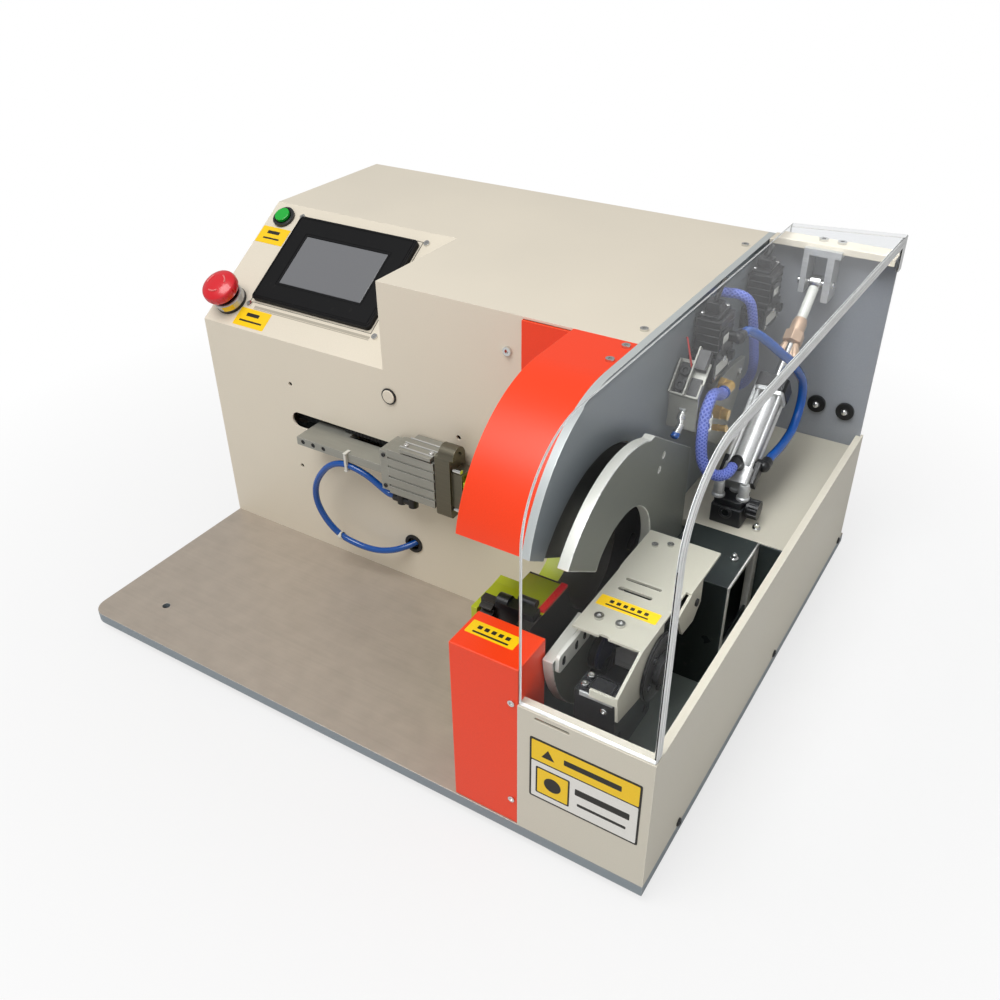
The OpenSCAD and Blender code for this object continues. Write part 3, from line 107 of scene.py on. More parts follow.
# Hose routes, as in the part's source
FRONT_HOSE = [
    (229.7, 174, 106.5), (221, 174, 107.5), (203, 171, 120), (187, 169, 125.5), (173, 168, 125),
    (158, 167, 116), (145, 166, 97), (141, 167, 76), (147, 169, 56), (160, 172, 40), (178, 175, 33),
    (198, 177.5, 32), (214, 181.5, 35), (225, 187.5, 39), (232, 194.5, 42), (237, 202, 45), (241, 210, 47),
]
FEED_HOSE_A = [
    (478, 292.7, 222), (478, 284, 223), (478, 272, 229), (478.5, 261, 231), (479, 251, 225),
    (480, 246, 212), (481, 245, 197), (483, 247, 184), (487, 252, 173), (492, 261, 166),
    (496, 271, 164.8), (496, 281.5, 164.8),
]
FEED_HOSE_B = [
    (513, 322.7, 153.6), (513, 332, 153.5), (514, 348, 153), (514, 366, 152.5), (514, 382, 155),
    (513.5, 395, 163), (513, 402, 178), (512, 399, 194), (510, 387, 208), (507, 374, 220),
    (501, 360, 232), (493, 349, 244), (485, 337, 255), (480, 326, 261), (479, 316.3, 262),
]
VALVE_HOSE = [
    (446, 336, 284), (456, 336, 285), (466, 339, 284), (473, 345, 276), (475, 353, 256),
    (475, 363, 235), (474, 374, 212), (469, 384, 192), (458, 390, 178), (446, 391, 176),
]


def srgb(red, green, blue):
    """Linear colour of a display colour given from 0 to 255."""
    shares = (value / 255 for value in (red, green, blue))
    return tuple(v / 12.92 if v <= 0.04045 else ((v + 0.055) / 1.055) ** 2.4 for v in shares)


def colour(title, text, *display):
    """Colour setting of the machine, from a display colour."""
    return bpy.props.FloatVectorProperty(
        name=title, description=text, default=srgb(*display), subtype="COLOR", size=3, min=0, max=1
    )


def number(title, text, default, unit="NONE", low=0):
    """Setting that is one number."""
    return bpy.props.FloatProperty(name=title, description=text, default=default, min=low, unit=unit)


def length(title, text, default):
    """Length setting, in metres."""
    return number(title, text, default, unit="LENGTH")


class MachineColours(bpy.types.PropertyGroup):
    """Colours of the paints, plastics and tubes."""

    cream: colour("Cream", "Powder coat of the cabinet and tray", 225, 216, 198)
    orange: colour("Orange", "Paint of the hood and the lower cover", 246, 62, 12)
    lime: colour("Lime", "Paint of the head plate", 176, 188, 14)
    plate: colour("Plate grey", "Finish of the side plate and back panel", 122, 129, 133)
    ring: colour("Ring grey", "Anodised finish of the ring plate", 112, 115, 107)
    dark: colour("Dark grey", "Finish of the tray's floor and the feed box", 54, 60, 59)
    steel: colour("Plate steel", "Surface of the base plate", 182, 171, 158)
    tube: colour("Blue tube", "Polyurethane air hoses", 0, 76, 158)
    sleeve: colour("Braided sleeve", "Braid over the valve hoses", 62, 84, 176)
    red: colour("Red", "Head of the emergency stop", 214, 18, 34)
    green: colour("Green", "Cap of the reset button", 14, 172, 52)
    yellow: colour("Yellow", "Ground of the label plates", 250, 205, 8)


class MachineSizes(bpy.types.PropertyGroup):
    """Sizes of hoses and of the edges that catch the light."""

    front_hose: length("Clamp hose", "Diameter of the clamp's air hose", 0.006)
    feed_hose: length("Braided hose", "Diameter of the braided feed hose", 0.009)
    plain_hose: length("Plain hose", "Diameter of the plain feed hose", 0.008)
    fine_edge: length("Fine edge", "Broken edge of machined parts", 0.0004)
    soft_edge: length("Soft edge", "Rounded edge of moulded and painted parts", 0.0008)
    chamfer: length("Chamfer", "Bright chamfer of the ring plate and the side plate", 0.0010)


class StudioSettings(bpy.types.PropertyGroup):
    """Floor, camera and lamps."""

    lens: number("Lens", "Focal length in millimetres", 35.51, low=10)
    floor_size: length("Floor", "Side of the floor", 12.0)
    key: number("Key lamp", "Power of the large lamp", 35.0, unit="POWER")
    fill: number("Fill lamp", "Power of the fill lamp", 1.5, unit="POWER")
    sky: number("Sky", "Strength of the surrounding light", 0.42)


# Places


def at(x, y, z):
    """Point of the row frame, in metres, from millimetres in the machine's frame."""
    return MACHINE @ Vector((x, y, z))


def node_box(name):
    """Lowest and highest corner of a node, in millimetres in the machine's frame."""
    back = MACHINE.inverted()
    return [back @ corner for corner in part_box(name)]


def shifted(x, y, z, place=MACHINE):
    """Place moved to a point of its own frame."""
    return place @ Matrix.Translation((x, y, z))


def spun(angle, axis="Z"):
    """Turn by an angle in degrees."""
    return Matrix.Rotation(math.radians(angle), 4, axis)


# Mesh helpers

QUARTERS = ((1, 1), (-1, 1), (-1, -1), (1, -1))


def corner_points(reach):
    """Four corners of a square about the middle."""
    return [(x, y) for x in (-reach, reach) for y in (-reach, reach)]


def round_outline(width, height, radius, steps):
    """Points of a rectangle with round corners, about the middle."""
    points = []
    for corner, (sx, sy) in enumerate(QUARTERS):
        x, y = sx * (width / 2 - radius), sy * (height / 2 - radius)
        for step in range(steps + 1):
            angle = (corner + step / steps) * math.pi / 2
            points.append((x + radius * math.cos(angle), y + radius * math.sin(angle)))
    return points


def curve(points, steps=6):
    """Points in metres of a smooth curve through given ones."""
    route = []
    for i in range(len(points) - 1):
        a, b, c, d = (Vector(points[min(max(k, 0), len(points) - 1)]) for k in range(i - 1, i + 3))
        for step in range(steps):
            t = step / steps
            bend = (2 * a - 5 * b + 4 * c - d) * t * t + (3 * b - a - 3 * c + d) * t**3
            route.append(0.5 * (2 * b + (c - a) * t + bend))
    return [at(*point) for point in route + [points[-1]]]


def fresh(bm, known):
    """Vertices that aren't among the known ones."""
    return [vert for vert in bm.verts if vert not in known]


def raised_verts(bm, faces):
    """Extrudes faces and gives the vertices of their copy."""
    made = bmesh.ops.extrude_face_region(bm, geom=faces)["geom"]
    return [item for item in made if isinstance(item, bmesh.types.BMVert)]


def block(bm, x, y, z, place=MACHINE):
    """Adds a box between the pairs x, y and z."""
    middle = [(low + high) / 2 for low, high in (x, y, z)]
    size = [high - low for low, high in (x, y, z)]
    bmesh.ops.create_cube(bm, size=1, matrix=shifted(*middle, place) @ Matrix.Diagonal((*size, 1)))


def rod(bm, start, axis, long, radius, sides=32):
    """Adds a round bar that starts at a point and runs along an axis."""
    matrix = shifted(0, 0, long / 2, shifted(*start) @ TURNS[axis])
    bmesh.ops.create_cone(
        bm, cap_ends=True, segments=sides, radius1=radius, radius2=radius, depth=long, matrix=matrix
    )


def turned(bm, profile, place, sides=48):
    """Adds a form turned from (radius, height) points round the place's z axis."""
    known = set(bm.verts)
    verts = [bm.verts.new((radius, 0, height)) for radius, height in profile]
    edges = [bm.edges.new(pair) for pair in zip(verts, verts[1:])]
    bmesh.ops.spin(
        bm, geom=verts + edges, cent=(0, 0, 0), axis=(0, 0, 1), angle=math.tau, steps=sides, use_merge=True
    )
    bmesh.ops.remove_doubles(bm, verts=fresh(bm, known), dist=1e-4)
    bmesh.ops.transform(bm, matrix=place, verts=fresh(bm, known))


def disc(bm, place, radius, low, high, sides=24):
    """Adds a full cylinder between two heights of the place."""
    turned(bm, [(0, low), (radius, low), (radius, high), (0, high)], place, sides)


def sleeve(bm, place, inner, outer, low, high, sides=28):
    """Adds a hollow cylinder between two heights of the place."""
    turned(bm, [(inner, low), (outer, low), (outer, high), (inner, high), (inner, low)], place, sides)


def socket_screw(bm, place, radius, height):
    """Adds a round screw head with a socket, standing on the place's z = 0."""
    rise, socket, floor = height * 0.3, radius * 0.52, height * 0.35
    head = [(0, 0), (radius, 0), (radius, height - rise), (radius - rise, height)]
    turned(bm, head + [(socket, height), (socket, floor), (0, floor)], place, sides=24)


def prism(bm, outline, height, place):
    """Adds an outline of (x, y) points raised along the place's z axis."""
    known = set(bm.verts)
    face = bm.faces.new([bm.verts.new((x, y, 0)) for x, y in outline])
    bmesh.ops.translate(bm, vec=(0, 0, height), verts=raised_verts(bm, [face]))
    bmesh.ops.transform(bm, matrix=place, verts=fresh(bm, known))


def frame_plate(bm, width, height, border, thick, place):
    """Adds a flat rectangular frame raised along the place's z axis."""
    known = set(bm.verts)
    face = bm.faces.new([bm.verts.new((width / 2 * sx, height / 2 * sy, 0)) for sx, sy in QUARTERS])
    ring = bmesh.ops.inset_region(
        bm, faces=[face], thickness=border, use_even_offset=True, use_boundary=True
    )["faces"]
    bmesh.ops.delete(bm, geom=[face], context="FACES_ONLY")
    bmesh.ops.translate(bm, vec=(0, 0, thick), verts=raised_verts(bm, ring))
    bmesh.ops.transform(bm, matrix=place, verts=fresh(bm, known))


def tinted(bm, index, maker, *given, **named):
    """Calls a maker and gives the faces that it adds the finish of that index."""
    known = set(bm.faces)
    maker(bm, *given, **named)
    for face in bm.faces:
        if face not in known:
            face.material_index = index


def plate_label(bm, place, width, height, marks, thick=0.25):
    """Adds a thin plate in finish 0 with plain marks (x, y, width, height) in finish 1."""
    tinted(bm, 0, prism, round_outline(width, height, 0.8, 2), thick, place)
    for x, y, wide, high in marks:
        tinted(bm, 1, prism, round_outline(wide, high, 0.3, 1), 0.06, shifted(x, y, thick, place))


def swept(bm, route, radius, sides=16):
    """Adds a round tube along a route, and keeps angle and run of each vertex in the layer lay."""
    lay = bm.verts.layers.float_vector.new("lay")
    frames = []
    side = Vector((0.1, 0.2, 1))
    for i, point in enumerate(route):
        ahead = (route[min(i + 1, len(route) - 1)] - route[max(i - 1, 0)]).normalized()
        side = (side - side.dot(ahead) * ahead).normalized()
        axes = Matrix((side, ahead.cross(side), ahead)).transposed().to_4x4()
        frames.append(Matrix.Translation(point) @ axes)
    circle = bmesh.ops.create_circle(bm, cap_ends=False, segments=sides, radius=radius, matrix=frames[0])
    ring = start_ring = circle["verts"]
    edges = list({edge for vert in ring for edge in vert.link_edges})
    run = 0
    for i, matrix in enumerate(frames):
        if i:
            made = bmesh.ops.extrude_edge_only(bm, edges=edges)["geom"]
            ring = [item for item in made if isinstance(item, bmesh.types.BMVert)]
            edges = [item for item in made if isinstance(item, bmesh.types.BMEdge)]
            bmesh.ops.transform(bm, matrix=matrix @ frames[i - 1].inverted(), verts=ring)
            run += (route[i] - route[i - 1]).length
        back = matrix.inverted()
        for vert in ring:
            local = back @ vert.co
            vert[lay] = (local.x / radius, local.y / radius, run)
    for end in (start_ring, ring):
        rim = {edge for vert in end for edge in vert.link_edges if edge.is_boundary}
        bmesh.ops.contextual_create(bm, geom=list(rim))


# Angles between faces, in degrees: below SHARP they shade smoothly, above BROKEN the edge is broken
SHARP, BROKEN = 35, 50


def new_piece(name, bm, finish, body="root", replaces=(), edge=0.0):
    """Makes a piece of a finished bmesh and lets it ride on its body."""
    bmesh.ops.recalc_face_normals(bm, faces=bm.faces)
    mesh = bpy.data.meshes.new(name)
    bm.to_mesh(mesh)
    bm.free()
    mesh.shade_smooth()
    mesh.set_sharp_from_angle(angle=math.radians(SHARP))
    made = bpy.data.objects.new(name, mesh)
    bpy.context.scene.collection.objects.link(made)
    for item in [finish] if isinstance(finish, str) else finish:
        mesh.materials.append(bpy.data.materials[item])
    if edge:
        break_edges(made, edge)
    if body:
        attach(made, body)
    if replaces:
        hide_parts(*replaces)
    return made


@contextlib.contextmanager
def piece(name, finish, **how):
    """Opens a bmesh to model in, and makes the piece of it when the block ends."""
    bm = bmesh.new()
    yield bm
    new_piece(name, bm, finish, **how)


def hose(name, finish, route, diameter, sides=16, **how):
    """Makes a round tube along a given route."""
    bm = bmesh.new()
    swept(bm, curve(route), diameter / 2, sides)
    return new_piece(name, bm, finish, **how)


def break_edges(item, width, weld=False, segments=2, finish=-1, even=True):
    """Gives a piece rounded or chamfered edges that catch the light, and keeps its flat faces flat."""
    if weld:
        item.modifiers.new("Weld", "WELD").merge_threshold = 1e-6
        flat = item.modifiers.new("Flat faces", "DECIMATE")
        flat.decimate_type = "DISSOLVE"
        flat.angle_limit = math.radians(0.5)
    bevel = item.modifiers.new("Edges", "BEVEL")
    bevel.width = width
    bevel.segments = segments
    bevel.material = finish
    bevel.limit_method = "ANGLE"
    bevel.angle_limit = math.radians(BROKEN)
    bevel.use_clamp_overlap = True
    if even:
        item.modifiers.new("Normals", "WEIGHTED_NORMAL").keep_sharp = True


# Shader helpers

# Spread of a noise texture's values round their middle
NOISE_LOW, NOISE_HIGH = 0.3, 0.7
SOCKETS = {1: "NodeSocketFloat", 3: "NodeSocketVector", 4: "NodeSocketColor"}
DUST = (0.3, 0.27, 0.22, 1)


class Tree:
    """Adds nodes to a tree, with values or links for their inputs."""

    def __init__(self, tree):
        self.tree = tree

    def feed(self, node, inputs):
        """Links or sets inputs of a node."""
        for name, value in inputs.items():
            if isinstance(value, bpy.types.NodeSocket):
                self.tree.links.new(value, node.inputs[name])
            else:
                node.inputs[name].default_value = value

    def add(self, kind, inputs=None, **settings):
        node = self.tree.nodes.new(kind)
        for name, value in settings.items():
            setattr(node, name, value)
        self.feed(node, inputs or {})
        return node

    def show(self, node):
        """Lets the material show a shader."""
        out = next(item for item in self.tree.nodes if item.type == "OUTPUT_MATERIAL")
        self.feed(out, {"Surface": node.outputs[0]})

    def place(self):
        return self.add("ShaderNodeTexCoord").outputs["Object"]

    def noise(self, place, scale, detail, **more):
        inputs = {"Vector": place, "Scale": scale, "Detail": detail, **more}
        return self.add("ShaderNodeTexNoise", inputs).outputs[0]

    def math(self, operation, first, second=0.0):
        return self.add("ShaderNodeMath", {0: first, 1: second}, operation=operation).outputs[0]

    def vector(self, operation, inputs, output="Vector"):
        return self.add("ShaderNodeVectorMath", inputs, operation=operation).outputs[output]

    def remap(self, value, low, high, to_low, to_high):
        inputs = {"Value": value, "From Min": low, "From Max": high, "To Min": to_low, "To Max": to_high}
        return self.add("ShaderNodeMapRange", inputs).outputs[0]

    def spread(self, noise, low=-1.0, high=1.0):
        """Noise laid between two values."""
        return self.remap(noise, NOISE_LOW, NOISE_HIGH, low, high)

    def mix(self, share, first, second):
        return self.add("ShaderNodeMix", {0: share, 6: first, 7: second}, data_type="RGBA").outputs[2]


def new_group(name, inputs, outputs):
    """Empty shader node group, as its tree helper, the sockets of its input and its output node."""
    group = bpy.data.node_groups.new(name, "ShaderNodeTree")
    for title, default in inputs.items():
        kind = SOCKETS[len(default) if isinstance(default, tuple) else 1]
        group.interface.new_socket(title, in_out="INPUT", socket_type=kind).default_value = default
    for title in outputs:
        kind = SOCKETS[4 if title == "Color" else 1]
        group.interface.new_socket(title, in_out="OUTPUT", socket_type=kind)
    tree = Tree(group)
    return tree, tree.add("NodeGroupInput").outputs, tree.add("NodeGroupOutput")


def make_grain_group():
    """Uneven colour, a soft mottle in roughness, and a fine height for paint and plastic."""
    inputs = {
        "Color": (0.5, 0.5, 0.5, 1), "Mottle Scale": 12.0, "Mottle": 0.05, "Grain Scale": 1400.0,
        "Roughness": 0.4, "Dust": 0.1,
    }
    tree, given, out = new_group("surface_grain", inputs, ["Color", "Roughness", "Height"])
    place = tree.place()
    mottle = tree.noise(place, given["Mottle Scale"], 4.0)
    grain = tree.noise(place, given["Grain Scale"], 2.0)
    dust = tree.noise(place, 160.0, 6.0, Roughness=0.75)
    share = tree.math("MULTIPLY", tree.spread(mottle), given["Mottle"])
    gain = tree.math("MULTIPLY", tree.math("ADD", share, 1.0), tree.spread(grain, 0.97, 1.03))
    scaled = tree.vector("SCALE", {0: given["Color"], "Scale": gain})
    specks = tree.math("MULTIPLY", tree.remap(dust, 0.62, 0.72, 0.0, 1.0), given["Dust"])
    rough = tree.math("ADD", given["Roughness"], tree.spread(mottle, -0.05, 0.07))
    tree.feed(out, {"Color": tree.mix(specks, scaled, DUST), "Roughness": rough, "Height": grain})


def make_brush_group():
    """Fine lines along one axis for brushed, ground and drawn metal."""
    inputs = {
        "Color": (0.5, 0.5, 0.5, 1), "Stretch": (30.0, 900.0, 900.0), "Contrast": 0.1, "Blotch Scale": 20.0,
        "Blotch": 0.1, "Roughness": 0.35,
    }
    tree, given, out = new_group("metal_lines", inputs, ["Color", "Roughness", "Height"])
    place = tree.place()
    drawn = tree.add("ShaderNodeMapping", {"Vector": place, "Scale": given["Stretch"]}).outputs[0]
    lines = tree.noise(drawn, 1.0, 3.0)
    blotch = tree.noise(place, given["Blotch Scale"], 6.0)
    line_share = tree.math("MULTIPLY", tree.spread(lines), given["Contrast"])
    blotch_share = tree.math("MULTIPLY", tree.spread(blotch), given["Blotch"])
    gain = tree.math("ADD", tree.math("ADD", line_share, blotch_share), 1.0)
    scaled = tree.vector("SCALE", {0: given["Color"], "Scale": gain})
    rough = tree.math("ADD", given["Roughness"], tree.math("MULTIPLY", line_share, 0.6))
    rough = tree.math("ADD", rough, tree.math("MULTIPLY", blotch_share, 0.5))
    tree.feed(out, {"Color": scaled, "Roughness": rough, "Height": lines})


def make_wear_group():
    """Mask that is 1 along edges, broken up by noise: real wear on metals, and a painted highlight along the
    edges of paints and plastics.
    """
    tree, given, out = new_group("edge_wear", {"Reach": 0.001, "Amount": 0.5}, ["Mask"])
    round_normal = tree.add("ShaderNodeBevel", {"Radius": given["Reach"]}, samples=4).outputs[0]
    true_normal = tree.add("ShaderNodeNewGeometry").outputs["Normal"]
    same = tree.vector("DOT_PRODUCT", {0: round_normal, 1: true_normal}, "Value")
    edge = tree.remap(same, 0.995, 0.85, 0.0, 1.0)
    broken = tree.remap(tree.noise(tree.place(), 220.0, 4.0), 0.35, 0.6, 0.25, 1.0)
    mask = tree.math("MULTIPLY", tree.math("MULTIPLY", edge, broken), given["Amount"])
    tree.feed(out, {"Mask": mask})


def start_material(name):
    """The frame's material of that name or a new one, its tree helper and its fresh shader."""
    material = bpy.data.materials.get(name) or bpy.data.materials.new(name)
    material.use_nodes = True
    material.blend_method = "OPAQUE"
    material.node_tree.nodes.clear()
    tree = Tree(material.node_tree)
    tree.add("ShaderNodeOutputMaterial")
    shader = tree.add("ShaderNodeBsdfPrincipled")
    tree.show(shader)
    return material, tree, shader


def use_group(tree, name, inputs):
    """Places a shared group in a material, with its own values, and gives its outputs."""
    return tree.add("ShaderNodeGroup", inputs, node_tree=bpy.data.node_groups[name]).outputs


def bump(tree, shader, height, distance):
    """Feeds a height into the shader's normal."""
    made = tree.add("ShaderNodeBump", {"Height": height, "Strength": 1.0, "Distance": distance})
    tree.feed(shader, {"Normal": made.outputs[0]})


def worn_and_lit_edges(tree, plain, bare, reach, amount):
    """Colour that turns to the edge colour along edges: worn metal on metals, and on paints and plastics a
    lighter tint of their own colour, a painted highlight.
    """
    wear = use_group(tree, "edge_wear", {"Reach": reach, "Amount": amount})
    return tree.mix(wear["Mask"], plain, (*bare, 1))


def rimmed(tree, plain, axis, rim):
    """Colour that turns to the rim's on the faces that don't look along an axis."""
    normal = tree.add("ShaderNodeNewGeometry").outputs["Normal"]
    along = tree.math("ABSOLUTE", tree.add("ShaderNodeSeparateXYZ", {0: normal}).outputs[axis])
    return tree.mix(tree.remap(along, 0.3, 0.6, 1.0, 0.0), plain, (*rim, 1))


def beyond(tree, plain, end, other, blur=0.0001):
    """Colour that turns to another one past an x of the machine."""
    start = at(end, 0, 0).x
    along = tree.add("ShaderNodeSeparateXYZ", {0: tree.place()}).outputs[0]
    return tree.mix(tree.remap(along, start - blur, start + blur, 0.0, 1.0), plain, (*other, 1))


def banded(tree, plain, other, near, far):
    """Colour that turns to another one outside a band round the rotor's axis."""
    away = tree.vector("SUBTRACT", {0: tree.place(), 1: at(0, *ROTOR_AXIS)})
    across = tree.vector("MULTIPLY", {0: away, 1: (0, 1, 1)})
    reach = tree.vector("LENGTH", {0: across}, "Value")
    outside = tree.math("ADD", tree.math("LESS_THAN", reach, near), tree.math("GREATER_THAN", reach, far))
    return tree.mix(outside, plain, (*other, 1))


def dressed(name, base, group, values, depth, metallic=0.0, coat=0.0, shine=0.5, bare=None, reach=0.0008,
            wear=0.5, rim=None, rim_axis=0, band=None, past=None):
    """Finish with a shared group's surface and, where given, its rim, band, far side and edge colour, which
    is worn metal on metals and a painted edge highlight on paints and plastics.
    """
    tree, shader = start_material(name)[1:]
    surface = use_group(tree, group, {"Color": (*base, 1), **values})
    tint = surface["Color"]
    if rim:
        tint = rimmed(tree, tint, rim_axis, rim)
    if band:
        tint = banded(tree, tint, base, *band)
    if past:
        tint = beyond(tree, tint, *past)
    if bare:
        tint = worn_and_lit_edges(tree, tint, bare, reach, wear)
    tree.feed(shader, {
        "Base Color": tint, "Roughness": surface["Roughness"], "Metallic": metallic, "Coat Weight": coat,
        "Specular IOR Level": shine,
    })
    bump(tree, shader, surface["Height"], depth)


def painted(name, base, roughness=0.42, mottle=0.03, grain=1500.0, depth=0.00004, dust=0.05,
            mottle_scale=7.0, **more):
    """Paint, powder coat or moulded plastic."""
    values = {
        "Mottle Scale": mottle_scale, "Mottle": mottle, "Grain Scale": grain, "Roughness": roughness,
        "Dust": dust,
    }
    dressed(name, base, "surface_grain", values, depth, **more)


def metal(name, base, roughness=0.3, stretch=(30, 900, 900), contrast=0.08, blotch=0.06, blotch_scale=24.0,
          metallic=1.0, reach=0.0006, **more):
    """Ground, brushed, cast or plated metal."""
    values = {
        "Stretch": stretch, "Contrast": contrast, "Blotch Scale": blotch_scale, "Blotch": blotch,
        "Roughness": roughness,
    }
    dressed(name, base, "metal_lines", values, 0.00001, metallic=metallic, reach=reach, wear=0.6,
            rim_axis=2, **more)


def clear_acrylic(name, tint, roughness):
    """Clear pane that lets the lamps through."""
    tree, shader = start_material(name)[1:]
    tree.feed(shader, {
        "Base Color": (*tint, 1), "Transmission Weight": 1.0, "Roughness": roughness, "IOR": 1.15,
    })
    open_side = tree.add("ShaderNodeBsdfTransparent", {"Color": (0.9, 0.92, 0.93, 1)})
    shadow = tree.add("ShaderNodeLightPath").outputs["Is Shadow Ray"]
    tree.show(tree.add("ShaderNodeMixShader", {0: shadow, 1: shader.outputs[0], 2: open_side.outputs[0]}))


def braid(name, base, strand_highlight, turns=7, pitch=0.0035):
    """Braided sleeve, from the tube's own angle and run; the raised strands turn to a lighter blue, a
    painted highlight.
    """
    tree, shader = start_material(name)[1:]
    lay = tree.add("ShaderNodeAttribute", attribute_name="lay")
    parts = tree.add("ShaderNodeSeparateXYZ", {0: lay.outputs["Vector"]}).outputs
    angle = tree.math("MULTIPLY", tree.math("ARCTAN2", parts[1], parts[0]), float(turns))
    run = tree.math("MULTIPLY", parts[2], math.tau / pitch)
    right = tree.math("SINE", tree.math("ADD", angle, run))
    left = tree.math("SINE", tree.math("SUBTRACT", angle, run))
    height = tree.remap(tree.math("MAXIMUM", right, left), -0.4, 1.0, 0.0, 1.0)
    tint = tree.mix(height, (*base, 1), (*strand_highlight, 1))
    tree.feed(shader, {"Base Color": tint, "Roughness": tree.remap(height, 0.0, 1.0, 0.75, 0.45)})
    bump(tree, shader, height, 0.0004)


